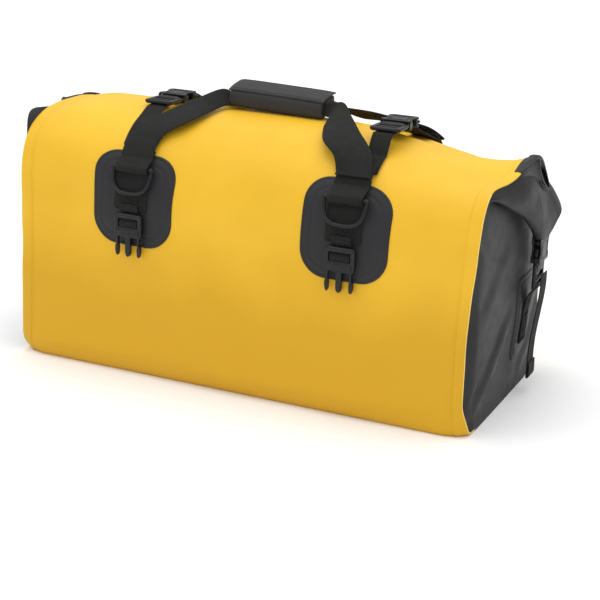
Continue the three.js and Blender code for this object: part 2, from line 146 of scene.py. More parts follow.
# ---- Building meshes ----
class Shell:
    """Closed surfaces gathered into one mesh, with a UV in metres for each vertex."""

    def __init__(self):
        self.points, self.faces, self.uv = [], [], []

    def add(self, points, faces, uv=None):
        start = sum(len(p) for p in self.points)
        points = np.asarray(points, float)
        self.points.append(points)
        self.faces += [tuple(start + i for i in face) for face in faces]
        self.uv.append(np.zeros((len(points), 2)) if uv is None else np.asarray(uv, float) * MM)

    def grid(self, outer, inner, uv, wrap=False):
        """A closed sheet between two grids of points, rows x columns. wrap joins the columns."""
        rows, cols = outer.shape[:2]
        top = np.arange(rows * cols).reshape(rows, cols)
        low = top + rows * cols
        if wrap:
            top = np.hstack([top, top[:, :1]])
            low = np.hstack([low, low[:, :1]])
        faces = []
        for layer, way in ((top, 1), (low, -1)):
            quad = [layer[:-1, :-1], layer[:-1, 1:], layer[1:, 1:], layer[1:, :-1]]
            faces += np.stack(quad[::way], -1).reshape(-1, 4).tolist()
        edges = [(top[0], low[0]), (top[-1, ::-1], low[-1, ::-1])]
        if not wrap:
            edges += [(top[::-1, 0], low[::-1, 0]), (top[:, -1], low[:, -1])]
        for t, l in edges:
            faces += np.stack([t[1:], t[:-1], l[:-1], l[1:]], -1).tolist()
        points = np.vstack([outer.reshape(-1, 3), inner.reshape(-1, 3)])
        self.add(points, faces, np.vstack([uv.reshape(-1, 2)] * 2))

    def disc(self, outer, inner, uv, hole):
        """A plate from rings of points, with the ring in row 0 or -1 closed by a face each side."""
        self.grid(outer, inner, uv, wrap=True)
        rows, count = outer.shape[:2]
        start = hole % rows * count
        top = range(start, start + count)
        low = range(start + rows * count, start + rows * count + count)
        ring = {*top, *low}
        self.faces = [face for face in self.faces if not set(face) <= ring]
        self.faces += [tuple(top), tuple(low)[::-1]]

    def loft(self, rings, uv, closed=False):
        """A body through rings of points, closed on itself or with a face over each end."""
        rows, cols = rings.shape[:2]
        index = np.arange(rows * cols).reshape(rows, cols)
        if closed:
            index = np.vstack([index, index[:1]])
        nxt = np.roll(index, -1, axis=1)
        faces = np.stack([index[:-1], nxt[:-1], nxt[1:], index[1:]], -1).reshape(-1, 4).tolist()
        if not closed:
            faces += [index[0][::-1].tolist(), index[-1].tolist()]
        self.add(rings.reshape(-1, 3), faces, uv.reshape(-1, 2))

    def ribbon(self, centres, across, thick):
        """A flat strap with rounded edges. across is half the width, as one vector or many."""
        centres = np.asarray(centres, float)
        across = np.broadcast_to(np.asarray(across, float), centres.shape)
        run = np.gradient(centres, axis=0)
        normal = unit(np.cross(run, across))
        half = np.linalg.norm(across, axis=1)[:, None]
        side = across / half
        length = lengths(centres)
        h = thick / 2
        flat = np.linspace(1, -1, 9)
        bend = np.radians([-45, 0, 45])
        section = [(f, 0.0, h) for f in flat]
        section += [(-1, -math.cos(b) * h, -math.sin(b) * h) for b in bend]
        section += [(-f, 0.0, -h) for f in flat]
        section += [(1, math.cos(b) * h, math.sin(b) * h) for b in bend]
        loops, uv = [], []
        for f, s, n in section:
            loops.append(centres + side * (f * (half - h) + s) + normal * n)
            uv.append(np.stack([np.full(len(length), f) * half[:, 0], length], -1))
        points = np.stack(loops, 1)
        uv = np.stack(uv, 1)
        rows, cols = points.shape[:2]
        index = np.arange(rows * cols).reshape(rows, cols)
        nxt = np.roll(index, -1, axis=1)
        faces = np.stack([index[:-1], nxt[:-1], nxt[1:], index[1:]], -1)
        faces = faces.reshape(-1, 4)[:, ::-1].tolist()
        k = len(flat)
        bottom = list(range(k + 3, 2 * k + 3))[::-1]
        for row, flip in ((index[0], False), (index[-1], True)):
            for i in range(k - 1):
                quad = [row[i], row[i + 1], row[bottom[i + 1]], row[bottom[i]]]
                faces.append(quad[::-1] if flip else quad)
            for i in (k - 1, 2 * k + 2):
                loop = [row[(i + m) % cols] for m in range(5)]
                faces.append(loop[::-1] if flip else loop)
        self.add(points.reshape(-1, 3), faces, uv.reshape(-1, 2))

    def tube(self, path, radius, closed=False, sides=12, aspect=1.0):
        """A round bar along a path, closed on itself or with domed ends."""
        path = np.asarray(path, float)
        if closed:
            run = unit(np.roll(path, -1, axis=0) - np.roll(path, 1, axis=0))
        else:
            run = unit(np.gradient(path, axis=0))
        normal = np.zeros_like(path)
        seed = np.array([0, 0, 1.0]) if abs(run[0][2]) < 0.9 else np.array([1.0, 0, 0])
        normal[0] = unit(seed - run[0] * (seed @ run[0]))
        for i in range(1, len(path)):
            normal[i] = unit(normal[i - 1] - run[i] * (normal[i - 1] @ run[i]))
        other = np.cross(run, normal)
        radius = np.broadcast_to(np.asarray(radius, float), (len(path),))
        if not closed:
            dome = np.array([0.0, 0.5, 0.87])
            head = path[0] - run[0] * (1 - dome[:, None]) * radius[0] * 0.9
            tail = path[-1] + run[-1] * (1 - dome[::-1, None]) * radius[-1] * 0.9
            scale = np.sqrt(1 - (1 - dome) ** 2)
            scale[0] = 0.25
            path = np.vstack([head, path, tail])
            normal, other = (np.vstack([np.repeat(v[:1], 3, 0), v, np.repeat(v[-1:], 3, 0)])
                             for v in (normal, other))
            radius = np.r_[radius[0] * scale, radius, radius[-1] * scale[::-1]]
        turn = np.linspace(0, 2 * math.pi, sides, endpoint=False)
        wide = radius[:, None, None]
        rings = (path[:, None] + normal[:, None] * np.cos(turn)[:, None] * wide
                 + other[:, None] * np.sin(turn)[:, None] * wide * aspect)
        uv = np.stack(np.broadcast_arrays(turn * radius.mean(), lengths(path)[:, None]), -1)
        self.loft(rings, uv, closed)

    def stitches(self, path, out, pitch=4.4, size=3.0, radius=0.5):
        """Separate thread stitches along a path, lifted along out, as one vector or many."""
        path = np.asarray(path, float)
        out = np.broadcast_to(unit(out), path.shape)
        run = lengths(path)
        count = max(1, int(run[-1] / pitch))
        step = run[-1] / count
        for i in range(count):
            at = np.linspace((i + 0.5) * step - size / 2, (i + 0.5) * step + size / 2, 5)
            p = np.stack([np.interp(at, run, path[:, k]) for k in range(3)], 1)
            n = np.stack([np.interp(at, run, out[:, k]) for k in range(3)], 1)
            arch = np.sin(np.linspace(0, math.pi, 5))[:, None] * radius * 0.9
            self.tube(p + n * (arch - radius * 0.25), radius, sides=6)


def make_piece(name, shell, material, replaces=(), body=None, blend=None, smooth_by=40):
    """Turns a Shell into a piece in metres, with its material, body and CAD nodes."""
    mesh = bpy.data.meshes.new(name)
    mesh.from_pydata((np.vstack(shell.points) * MM).tolist(), [], shell.faces)
    layer = mesh.uv_layers.new(name="UVMap")
    loops = np.zeros(len(mesh.loops), int)
    mesh.loops.foreach_get("vertex_index", loops)
    layer.data.foreach_set("uv", np.vstack(shell.uv)[loops].ravel())
    mesh.validate()
    piece = bpy.data.objects.new(name, mesh)
    bpy.context.scene.collection.objects.link(piece)
    tidy_normals(mesh, smooth_by)
    mesh.materials.append(material)
    if blend:
        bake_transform(piece)
    else:
        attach(piece, body)
    if replaces:
        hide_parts(*replaces)
    return piece


def stand_in(node, suffix, shell, material, **options):
    """The piece for one CAD node, on that node's body."""
    return make_piece(f"{node}_{suffix}", shell, material, (node,), body_of_node(node), **options)


def body_of_node(node):
    """The body that a CAD node rides on, as the record says."""
    for name, body in frame["record"]["behaviour"]["bodies"].items():
        if node in (body if isinstance(body, list) else body.get("nodes", [])):
            return name
    return "root"


def tidy_normals(mesh, smooth_by):
    """Turns all faces outwards and marks the edges sharper than smooth_by degrees."""
    bm = bmesh.new()
    bm.from_mesh(mesh)
    bmesh.ops.recalc_face_normals(bm, faces=bm.faces)
    limit = math.radians(smooth_by)
    for face in bm.faces:
        face.smooth = True
    for edge in bm.edges:
        edge.smooth = len(edge.link_faces) == 2 and edge.calc_face_angle(0) < limit
    bm.to_mesh(mesh)
    bm.free()


# ---- Materials ----
class Nodes:
    """Short calls for building one procedural material."""

    def __init__(self, name):
        self.material = bpy.data.materials.new(name)
        self.material.use_nodes = True
        self.tree = self.material.node_tree
        self.shader = self.tree.nodes["Principled BSDF"]
        self.coords = self.tree.nodes.new("ShaderNodeTexCoord")

    def node(self, kind, **values):
        made = self.tree.nodes.new(kind)
        for key, value in values.items():
            if key in made.inputs:
                made.inputs[key].default_value = value
            else:
                setattr(made, key, value)
        return made

    def link(self, source, target):
        self.tree.links.new(source, target)

    def drive(self, **sources):
        """Links node outputs to the shader's inputs, with _ for a space in the input's name."""
        for name, source in sources.items():
            self.link(source, self.shader.inputs[name.replace("_", " ")])

    def fix(self, **values):
        """Sets fixed values on the shader's inputs."""
        for name, value in values.items():
            self.shader.inputs[name.replace("_", " ")].default_value = value

    def maths(self, operation, a, b=None):
        made = self.tree.nodes.new("ShaderNodeMath")
        made.operation = operation
        for socket, value in zip(made.inputs, (a, b)):
            if value is None:
                continue
            if isinstance(value, (int, float)):
                socket.default_value = value
            else:
                self.link(value, socket)
        return made.outputs[0]

    def noise(self, scale, detail=3.0, rough=0.5, space="Object"):
        made = self.node("ShaderNodeTexNoise", Scale=scale, Detail=detail, Roughness=rough)
        self.link(self.coords.outputs[space], made.inputs["Vector"])
        return made.outputs[0]

    def spread(self, value, low, high, start=0.3, end=0.7):
        """Maps a noise value onto a range."""
        made = self.node("ShaderNodeMapRange")
        for name, limit in zip(("From Min", "From Max", "To Min", "To Max"), (start, end, low, high)):
            made.inputs[name].default_value = limit
        self.link(value, made.inputs["Value"])
        return made.outputs[0]

    def tint(self, factor, dark, light):
        ramp = self.node("ShaderNodeValToRGB")
        for stop, colour, place in zip(ramp.color_ramp.elements, (dark, light), (0.3, 0.7)):
            stop.color = (*colour, 1)
            stop.position = place
        self.link(factor, ramp.inputs["Fac"])
        return ramp.outputs["Color"]

    def bump(self, height, distance, strength=1.0, before=None):
        made = self.node("ShaderNodeBump", Strength=strength, Distance=distance)
        self.link(height, made.inputs["Height"])
        if before is not None:
            self.link(before, made.inputs["Normal"])
        return made.outputs["Normal"]

    def weave(self, pitch_u, pitch_v):
        """Height of a plain weave in the UV's metres: ribs that pass over and under."""
        split = self.node("ShaderNodeSeparateXYZ")
        self.link(self.coords.outputs["UV"], split.inputs[0])
        u = self.maths("MULTIPLY", split.outputs[0], 2 * math.pi / (pitch_u * MM))
        v = self.maths("MULTIPLY", split.outputs[1], 2 * math.pi / (pitch_v * MM))
        across = self.maths("SINE", u)
        along = self.maths("SINE", v)
        cross = self.maths("MULTIPLY", across, along)
        return self.maths("MULTIPLY", self.maths("ADD", cross, 1.0), 0.5)


def tarpaulin(name, dark, light, roughness, specular, grain=0.00006, painted_low_shade=False):
    """Coated woven fabric: a satin face with the cloth's fine grain pressed through it. It can carry
    painted shade that darkens the colour towards the floor.
    """
    n = Nodes(name)
    tone_and_low_shade = n.noise(9.0, 4.0)
    if painted_low_shade:
        # painted shade: the colour is darkened towards the floor, standing in for the lower wall's
        # shade
        split = n.node("ShaderNodeSeparateXYZ")
        n.link(n.coords.outputs["Object"], split.inputs[0])
        tone_and_low_shade = n.maths("ADD", n.maths("MULTIPLY", tone_and_low_shade, 0.4),
                        n.spread(split.outputs[2], -0.22, 0.40, 0.02, 0.19))
    fine = n.noise(420.0, 2.0)
    n.drive(Base_Color=n.tint(tone_and_low_shade, dark, light))
    scuff = n.noise(60.0, 5.0, 0.65)
    n.drive(Roughness=n.spread(scuff, roughness - 0.06, roughness + 0.07))
    first = n.bump(n.weave(1.9, 1.9), grain, 0.5)
    second = n.bump(fine, 0.00012, 0.35, first)
    n.drive(Normal=n.bump(n.noise(38.0, 3.0), 0.0007, 0.22, second))
    n.fix(Specular_IOR_Level=specular)
    return n.material


def webbing(name, dark, light):
    """Woven polyester strap with ribs along its length."""
    n = Nodes(name)
    n.drive(Base_Color=n.tint(n.weave(2.6, 2.0), dark, light))
    n.drive(Roughness=n.spread(n.noise(90.0), 0.72, 0.88))
    first = n.bump(n.weave(2.6, 2.0), 0.0009, 1.0)
    n.drive(Normal=n.bump(n.noise(900.0, 2.0), 0.0002, 0.4, first))
    n.fix(Sheen_Weight=0.04, Sheen_Roughness=0.5, Specular_IOR_Level=0.16)
    return n.material


def moulded(name, dark, light, roughness, grain=0.00015):
    """Moulded plastic with a fine spark-eroded texture."""
    n = Nodes(name)
    n.drive(Base_Color=n.tint(n.noise(70.0, 3.0), dark, light))
    n.drive(Roughness=n.spread(n.noise(220.0, 4.0), roughness - 0.07, roughness + 0.08))
    n.drive(Normal=n.bump(n.noise(1400.0, 2.0), grain, 0.35))
    n.fix(Specular_IOR_Level=0.34)
    return n.material


# YELLOW carries painted shade: its colour darkens towards the floor
YELLOW = tarpaulin("yellow_tarpaulin", (0.67, 0.375, 0.014), (0.87, 0.515, 0.030), 0.50, 0.25,
                   painted_low_shade=True)
YELLOW_EDGE = tarpaulin("yellow_edge", (0.90, 0.62, 0.16), (0.93, 0.66, 0.19), 0.55, 0.25)
GREY = tarpaulin("grey_tarpaulin", (0.0145, 0.015, 0.0162), (0.020, 0.0205, 0.022), 0.52, 0.26)
PATCH = tarpaulin("grey_patch", (0.020, 0.020, 0.022), (0.026, 0.026, 0.029), 0.50, 0.24)
WEBBING = webbing("black_webbing", (0.0035, 0.0035, 0.0035), (0.030, 0.030, 0.0285))
PLASTIC = moulded("black_plastic", (0.0065, 0.0065, 0.007), (0.010, 0.010, 0.0105), 0.36)
GRIP = tarpaulin("grip_fabric", (0.030, 0.030, 0.031), (0.040, 0.040, 0.041), 0.62, 0.2, 0.0002)
BOARD = moulded("base_board", (0.12, 0.12, 0.115), (0.15, 0.15, 0.145), 0.6)


# ---- The skin ----
# A place on the skin is (x, u): 0-1 along the base towards the wall, 1-2 round the lower edge,
# 2-3 up the wall, 3-4 over the roof and 4-5 along the ridge. Distances from the middle plane
# are worked out positive and turned to -Y for the front.
EDGE_RADIUS = 14.0                           # lower edges, before the rear one widens
REAR_DROP = 17.0                             # the rear roof ends this far below the ridge
REAR_LEDGE = 42.0                            # and this far behind the middle
FRONT, REAR = -1, 1
ENDS = (("left", -1), ("right", 1))
LONG_WAVE, SHORT_WAVE = Waves(260), Waves(70)
# soft hollows beside the patches, where the straps pull the cloth up: x, z, half sizes, depth
HOLLOWS = ((-78, 262, 34, 40, 5.5), (212, 235, 30, 60, 3.5),
           (62, 250, 40, 40, 2.5), (-232, 225, 34, 70, 2.0))


def ridge_height(x):
    """The ridge sags from the middle towards the right end, and a little at the left one."""
    sag = 25 * smooth(x, 80, 255) - 8 * smooth(x, 255, 325)
    return RIDGE + 3 - sag - 10 * smooth(-x, 240, 305) - 1.5 * smooth(x, 0, 100)


def lower_radius(x, side):
    return EDGE_RADIUS + (60 * smooth(np.abs(x), 110, 262) if side == REAR else 0 * x)


def roof_power(x, side):
    """The front is squarer at the ends. The rear slopes there, where the cloth is folded down."""
    if side == REAR:
        return 2.3 - 0.85 * smooth(np.abs(x), 190, 300)
    return 2.3 + 1.0 * smooth(-x, 120, 290) + 0.6 * smooth(x, 180, 300)


def skin(x, u, side=FRONT, out=0.0):
    """Points on the skin, moved out along its normal."""
    x, u = np.broadcast_arrays(np.asarray(x, float), np.asarray(u, float))
    if np.any(np.asarray(out) != 0):
        step = 1e-3
        here = skin(x, u, side)
        along = skin(x + 1.0, u, side) - skin(x - 1.0, u, side)
        up = skin(x, u + step, side) - skin(x, u - step, side)
        normal = unit(np.cross(along, up)) * (1 if side == FRONT else -1)
        return here + normal * np.asarray(out, float)[..., None]
    radius = np.where(u < 0, lower_radius(x, REAR), lower_radius(x, side))
    power = roof_power(x, side)
    top = ridge_height(x) - (REAR_DROP if side == REAR else 0)
    ledge = REAR_LEDGE if side == REAR else RIDGE_HALF
    base = np.clip(u, -1, 1)
    turn = np.clip(u - 1, 0, 1) * math.pi / 2
    wall = np.clip(u - 2, 0, 1)
    roof = np.clip(u - 3, 0, 1) * math.pi / 2
    flat = np.clip(u - 4, 0, 2)
    y = base * (HALF_DEPTH - radius) + radius * np.sin(turn) * (u > 0)
    z = radius * (1 - np.cos(turn)) + wall * (SHOULDER - radius)
    arc_y = np.cos(roof) ** (2 / power)
    arc_z = np.sin(roof) ** (2 / power)
    y = y - (HALF_DEPTH - ledge) * (1 - arc_y)
    z = z + (top - SHOULDER) * arc_z
    if side == REAR:
        y = y + (5 * np.sin(math.pi * np.clip(flat, 0, 1)) - 17 * flat)
        z = z - 24 * flat ** 2
    else:
        y = y - 24 * flat
        z = z - 2.5 * np.clip(flat, 0, 1) ** 2
    return shape_cloth(x, y, z, side)


def shape_cloth(x, y, z, side):
    """The way the filled bag's cloth bulges, pulls in and creases."""
    middle = 1 - np.clip(np.abs(x) / HALF_LENGTH, 0, 1) ** 2
    low = 1 - smooth(z, 70, 185)
    on_wall = smooth(z, 4, 30)
    y = y + 8.5 * middle * low * on_wall * (1 if side == FRONT else 0.6)
    # the load settles forwards and down between the corners
    settled = (1 - smooth(np.abs(x), 268, 301)) * (1 - smooth(z, 0, 70))
    if side == FRONT:
        y = y + 6.0 * settled * smooth(y, 60, 140)
        z = z - 3.0 * settled * smooth(y, 60, 140)
    uneven = 2.7 * LONG_WAVE(x, z - y * side) + 0.5 * SHORT_WAVE(x, z - y * side)
    y = y + uneven * on_wall * (1 - smooth(z, 205, 300))
    z = z + 0.7 * uneven * smooth(z, 225, 300) * (1 - smooth(z, 300, 318))
    # the lower front corner is soft and turns up a little
    corner = smooth(np.abs(x), 284, 301) * (1 - smooth(z, 0, 26)) * smooth(y, 70, 140)
    y = y - 5.0 * corner
    z = z + 2.0 * corner
    # end seams: pulled in along the wall, and at the right end drawn out towards the roll
    near_end = (np.abs(x) / HALF_LENGTH) ** 10
    pull = np.where(x > 0, 8.0, 1.0) * smooth(z, 8, 40) * (1 - smooth(z, 100, 250)) - 1.5
    x = x - np.sign(x) * pull * near_end
    if side == FRONT:
        draw = smooth(x, 150, 300) ** 3 * smooth(z, 200, 270)
        x = x + 14 * draw * smooth(-y, -112, -42)
        z = z - 12 * smooth(x, 215, 300) * np.exp(-((y - 74) / 34) ** 2) * smooth(z, 240, 270)
        for cx, cz, wx, wz, depth in HOLLOWS:
            dent = depth * np.exp(-((x - cx) / wx) ** 2 - ((z - cz) / wz) ** 2)
            y = y - dent * smooth(y, 60, 120)
            z = z - dent * 0.6 * (1 - smooth(y, 60, 130))
    return np.stack([x, y * side, z], -1)


def u_at_height(x, z, side=FRONT):
    """The skin's u on the wall or roof at a height, found along one section."""
    u = np.linspace(2, 4, 400)
    return float(np.interp(z, skin(x, u, side)[:, 2], u))


def u_along(x, u0, u1, side=FRONT, count=60):
    """count values of u from u0 to u1 with even steps along the cloth, and their length."""
    u = np.linspace(u0, u1, 600)
    p = skin(x, u, side)
    run = lengths(p)
    return np.interp(np.linspace(0, run[-1], count), run, u), run[-1]


def skin_sheet(name, side, u0, u1, counts, replaces, blend):
    """The panel of one side, from the base to the ridge, as a closed sheet of cloth."""
    rows = np.concatenate([np.linspace(a, b, n, endpoint=False) for a, b, n in counts] + [[u1]])
    rows[0] = u0
    ends = np.array([300, 298.5, 296, 291, 288, 286.8, 285.8, 284.8, 283.8, 281, 277, 273])
    middle = np.linspace(268, -268, 181)
    cols = np.concatenate([ends, middle, -ends[::-1]])[::-1]
    x, u = np.meshgrid(cols, rows)
    # the welded band along each end seam stands a cloth's thickness proud
    band = (1.3 * smooth(np.abs(x), 284.6, 287.0) * (1 - smooth(np.abs(x), 297.5, 300))
            - 0.5 * np.exp(-((np.abs(x) - 284.3) / 1.0) ** 2))
    outer = skin(x, u, side, band + 0.01)
    inner = skin(x, u, side, band - CLOTH)
    up = np.zeros_like(outer[..., 0])
    up[1:] = np.cumsum(np.linalg.norm(np.diff(outer, axis=0), axis=-1), axis=0)
    shell = Shell()
    shell.grid(outer, inner, np.stack([x, up], -1))
    make_piece(name, shell, YELLOW, replaces, blend=blend)


def hinge_line(side, low=(9.5, -12.0), high=(-6.0, 8.0)):
    """Start and end of the bend across the roof hinge of one side, in metres."""
    y, z = HINGE_Y, HINGE_Z
    start = (0, side * (y + low[0]) * MM, (z + low[1]) * MM)
    end = (0, side * (y + high[0]) * MM, (z + high[1]) * MM)
    return start, end


def build_skin():
    skin_sheet("front_skin", FRONT, -0.98, 4.95,
               ((-0.98, 1, 34), (1, 2, 12), (2, 3, 58), (3, 4, 66), (4, 4.95, 9)),
               ("base_panel", "front_panel", "front_roof"),
               ("root", "front_flap", *hinge_line(FRONT)))
    skin_sheet("rear_skin", REAR, 0.93, 5.0,
               ((0.93, 1, 3), (1, 2, 16), (2, 3, 54), (3, 4, 60), (4, 5, 10)),
               ("rear_panel", "rear_roof"), ("root", "rear_flap", *hinge_line(REAR)))


# ---- End panels ----
def rim(side_x, count=180):
    """The end seam round the whole section at one end, from the base's middle to the front,
    over the roof and down the rear, in even steps. It laps over the skin along the base."""
    inside, lap = -CLOTH - 0.3, 0.5
    parts = []
    for side, u, lap_from, lap_to in ((FRONT, np.linspace(0, 4.2, 500), 0.85, 1.35),
                                      (REAR, np.linspace(4.05, 0, 500), 3.1, 3.5)):
        lapped = 1 - smooth(u, lap_from, lap_to)
        part = skin(side_x * (HALF_LENGTH - 3), u, side, inside + (lap - inside) * lapped)
        part[:, 0] += side_x * 4.8 * lapped
        parts.append(part)
    loop = np.vstack(parts)
    keep = np.r_[True, np.linalg.norm(np.diff(loop, axis=0), axis=1) > 1e-6]
    return spaced(loop[keep], count, closed=True)


END_WAVE = Waves(110)
DOME = 10.5                                  # how far the middle of an end stands out
END_CLOTH = 1.4                              # thickness of an end panel
# each crease of an end panel: from (y, z) to (y, z), then its width and depth
END_CREASES = ((-138, 20, -20, 120, 9, 3.2), (-120, 150, -30, 215, 12, 2.0),
               (40, 20, 128, 110, 12, 3.0), (-136, 230, -60, 190, 8, 1.8))


def end_x(y, z, side_x):
    """How far an end panel stands at (y, z): domed, with soft creases."""
    y, z = np.asarray(y, float), np.asarray(z, float)
    across = np.clip(1 - (y / 140) ** 2, 0, 1)
    up = np.clip(1 - ((z - 140) / 142) ** 2, 0, 1)
    dome = DOME * np.sqrt(across * up) ** 1.1
    crease = 0
    for y0, z0, y1, z1, width, depth in END_CREASES:
        dy, dz = y1 - y0, z1 - z0
        size = math.hypot(dy, dz)
        along = ((y - y0) * dy + (z - z0) * dz) / size ** 2
        off = ((y - y0) * dz - (z - z0) * dy) / size
        window = smooth(along, -0.1, 0.15) * (1 - smooth(along, 0.75, 1.1))
        crease = crease + depth * window * (np.exp(-(off / width) ** 2)
                                            - 0.6 * np.exp(-((off - width * 1.3) / width) ** 2))
    edge = np.clip(across * up * 6, 0, 1)
    return side_x * (HALF_LENGTH - 4.5 + dome + edge * (0.8 * END_WAVE(y, z * side_x) - crease))


def build_end_panel(name, side_x):
    loop = rim(side_x)
    centre = np.array([0.0, 2.0, 140.0])
    shares = np.r_[0.02, np.linspace(0.05, 0.9, 34), 0.935, 0.965, 0.985, 1.0]
    rings = []
    for share in shares:
        ring = centre + (loop - centre) * share
        x = end_x(ring[:, 1], ring[:, 2], side_x)
        hold = smooth(share, 0.86, 1.0)
        ring[:, 0] = x * (1 - hold) + (loop[:, 0] - side_x * 1.2) * hold
        rings.append(ring)
    outer = np.stack(rings)
    inner = outer.copy()
    inner[..., 0] -= side_x * END_CLOTH
    shell = Shell()
    shell.disc(outer, inner, outer[..., 1:], hole=0)
    stand_in(name, "domed", shell, GREY)


def build_seam_lips():
    """The cut edge of the yellow cloth along each end seam."""
    for label, side_x in ENDS:
        edge = skin(side_x * (HALF_LENGTH - 0.3), np.linspace(0.0, 3.55, 220), FRONT, -0.45)
        shell = Shell()
        shell.tube(edge, 0.7, sides=8)
        make_piece(f"seam_lip_front_{label}", shell, YELLOW_EDGE, body="root")


# ---- Patches ----
PATCH_SIZE = (110.0, 164.0, 276.0, 33.0)      # width, bottom z, top z, corner radius


def rounded_rect(half_w, half_h, radius, count):
    """Closed outline of a rounded rectangle with evenly spread points."""
    pts = []
    for cx, cy, a0 in ((1, 1, 0), (-1, 1, 90), (-1, -1, 180), (1, -1, 270)):
        for a in np.radians(np.linspace(a0, a0 + 90, 12)):
            pts.append((cx * (half_w - radius) + radius * math.cos(a),
                        cy * (half_h - radius) + radius * math.sin(a)))
    return spaced(np.array(pts + pts[:1]), count, closed=True)


def build_patch(name, x0, side):
    width, bottom, top, corner = PATCH_SIZE
    u_low, u_high = u_at_height(x0, bottom, side), u_at_height(x0, top, side)
    us, tall = u_along(x0, u_low, u_high, side, 200)
    rise = np.linspace(-tall / 2, tall / 2, 200)
    # rings from the edge inwards, with (inset, height): rounded edge, weld channel, inner line
    rings = [(0, 0.15), (0.2, 1.0), (0.7, 1.5), (1.6, 1.7), (3.2, 1.6), (4.0, 1.25), (5.0, 1.25),
             (5.8, 1.5), (12.6, 1.6), (13.2, 1.4), (13.9, 1.4), (14.5, 1.65)]
    rings += [(inset, 1.7) for inset in (18, 22, 28, 34, 40, 46, 50, 53)]
    count = 132
    outer, inner, uv = [], [], []
    for inset, height in rings:
        w = max(width / 2 - inset, 0.6)
        radius = min(max(corner - inset, 2.0), w)
        loop = rounded_rect(w, max(tall / 2 - inset, 0.6), radius, count)
        u = np.interp(loop[:, 1], rise, us)
        outer.append(skin(x0 + loop[:, 0], u, side, height))
        inner.append(skin(x0 + loop[:, 0], u, side, -0.1))
        uv.append(loop)
    outer, inner, uv = (np.array(part)[:, ::-side] for part in (outer, inner, uv))
    shell = Shell()
    shell.disc(outer, inner, uv, hole=-1)
    stand_in(name, "welded", shell, PATCH)


# ---- Webbing over the patches, rings and loops ----
STATIONS = [(f"{side_name}_{end_name}", side, x if side == FRONT else -x)
            for side_name, side in (("front", FRONT), ("rear", REAR))
            for end_name, x in (("left", -STATION), ("right", STATION))]
RING_BAR = (142.86, 260.26)                   # distance from the middle plane, and height
LOOP_BAR = (153.19, 203.06)
STRAP_STITCH = {"pitch": 3.4, "size": 2.6, "radius": 0.42}


def strap_on_skin(shell, x0, u0, u1, side, half, thick, lift):
    """A flat strap that lies on the skin from u0 to u1."""
    us, _ = u_along(x0, u0, u1, side, 40)
    centres = skin(x0, us, side, lift)
    edge = skin(x0 + half, us, side, lift)
    shell.ribbon(centres, unit(edge - centres) * half * -side, thick)


def bar_wrap(x0, side, bar, radius, top_z, bottom_z, lift):
    """A strap's centre line down the skin, out and round a bar in front, and back to the skin."""
    us, _ = u_along(x0, u_at_height(x0, bar[1] + radius + 5, side), u_at_height(x0, top_z, side),
                    side, 12)
    upper = skin(x0, us[::-1], side, lift)
    turn = np.radians(np.linspace(75, -85, 11))
    round_bar = np.stack([np.full(11, x0), side * (bar[0] + radius * np.cos(turn)),
                          bar[1] + radius * np.sin(turn)], 1)
    us, _ = u_along(x0, u_at_height(x0, bar[1] - radius - 5, side),
                    u_at_height(x0, bottom_z, side), side, 12)
    lower = skin(x0, us, side, lift)
    return curve(np.vstack([upper, round_bar, lower]), 90)


def build_station(label, side, x0):
    """The webbing over one patch with its ring, and the narrow loop below it."""
    # the wide webbing: an under layer sewn to the patch, and the layer that holds the ring
    shell = Shell()
    strap_on_skin(shell, x0, u_at_height(x0, 209, side), u_at_height(x0, 279, side), side,
                  WEB / 2, 1.6, 2.9)
    path = bar_wrap(x0, side, RING_BAR, 4.7, 292, 211, 4.6)
    across = [side * WEB / 2, 0, 0]
    shell.ribbon(path, across, 1.7)
    # rows of stitching, each in a pressed groove between two ridges
    for z in (250, 246, 222, 216, 211.5):
        u = u_at_height(x0, z, side)
        xs = np.linspace(x0 - 21, x0 + 21, 12)
        row = skin(xs, u, side, 5.55)
        shell.stitches(row, row - skin(xs, u, side, 0.1), **STRAP_STITCH)
    start, end = hinge_line(side, low=(8.0, -6.0), high=(-5.0, 7.0))
    flap = "front_flap" if side == FRONT else "rear_flap"
    make_piece(f"anchor_webbing_{label}_sewn", shell, WEBBING, (f"anchor_webbing_{label}",),
               blend=("root", flap, start, end))
    # the narrow loop that holds the plug
    shell = Shell()
    centre_y, centre_z = LOOP_BAR
    us = np.linspace(u_at_height(x0, 217, side), u_at_height(x0, 211, side), 3)
    head = skin(x0, us, side, 7.2)
    hang = [(x0, side * (centre_y + away), centre_z + up)
            for away, up in ((-4.6, 2.5), (-3.9, -2.5), (-0.6, -6.0), (1.2, -10.0), (0.6, -13.6),
                             (-1.8, -14.6), (-4.2, -12.0))]
    path = curve(np.vstack([head, hang]), 60)
    across = [side * STRAP / 2, 0, 0]
    shell.ribbon(path, across, 1.6)
    stand_in(f"accessory_loop_{label}", "sewn", shell, WEBBING)
    build_ring(label, side, x0)


def build_ring(label, side, x0):
    """A moulded D-ring: a straight bar and a bow with small shoulders."""
    low, high = box_mm(f"d_ring_{label}")
    wire = 2.5
    half = (high[0] - low[0]) / 2 - wire
    tilt = math.radians(18)
    drop = (high[2] - low[2] - 2 * wire) / math.cos(tilt)
    t = np.linspace(0, math.pi, 41)
    power = 2 / 2.9
    bow_x = np.sign(np.cos(t)) * np.abs(np.cos(t)) ** power * half
    bow_d = np.sin(t) ** power * drop
    bar_x = np.linspace(-half, half, 16)[1:-1]
    local = np.vstack([np.stack([bow_x, bow_d], 1), np.stack([bar_x, np.zeros(14)], 1)])
    points = np.stack([x0 + local[:, 0],
                       side * (RING_BAR[0] + local[:, 1] * math.sin(tilt)),
                       RING_BAR[1] - local[:, 1] * math.cos(tilt)], 1)
    path = curve(points, 120, closed=True)
    shell = Shell()
    shell.tube(path, wire, closed=True, sides=16)
    stand_in(f"d_ring_{label}", "moulded", shell, PLASTIC)


# ---- Handles ----
HANDLE_PIVOT = (123.0, 286.7)
GRIP_CENTRE = (-10.0, 342.0)
GRIP_HALF = 63.0


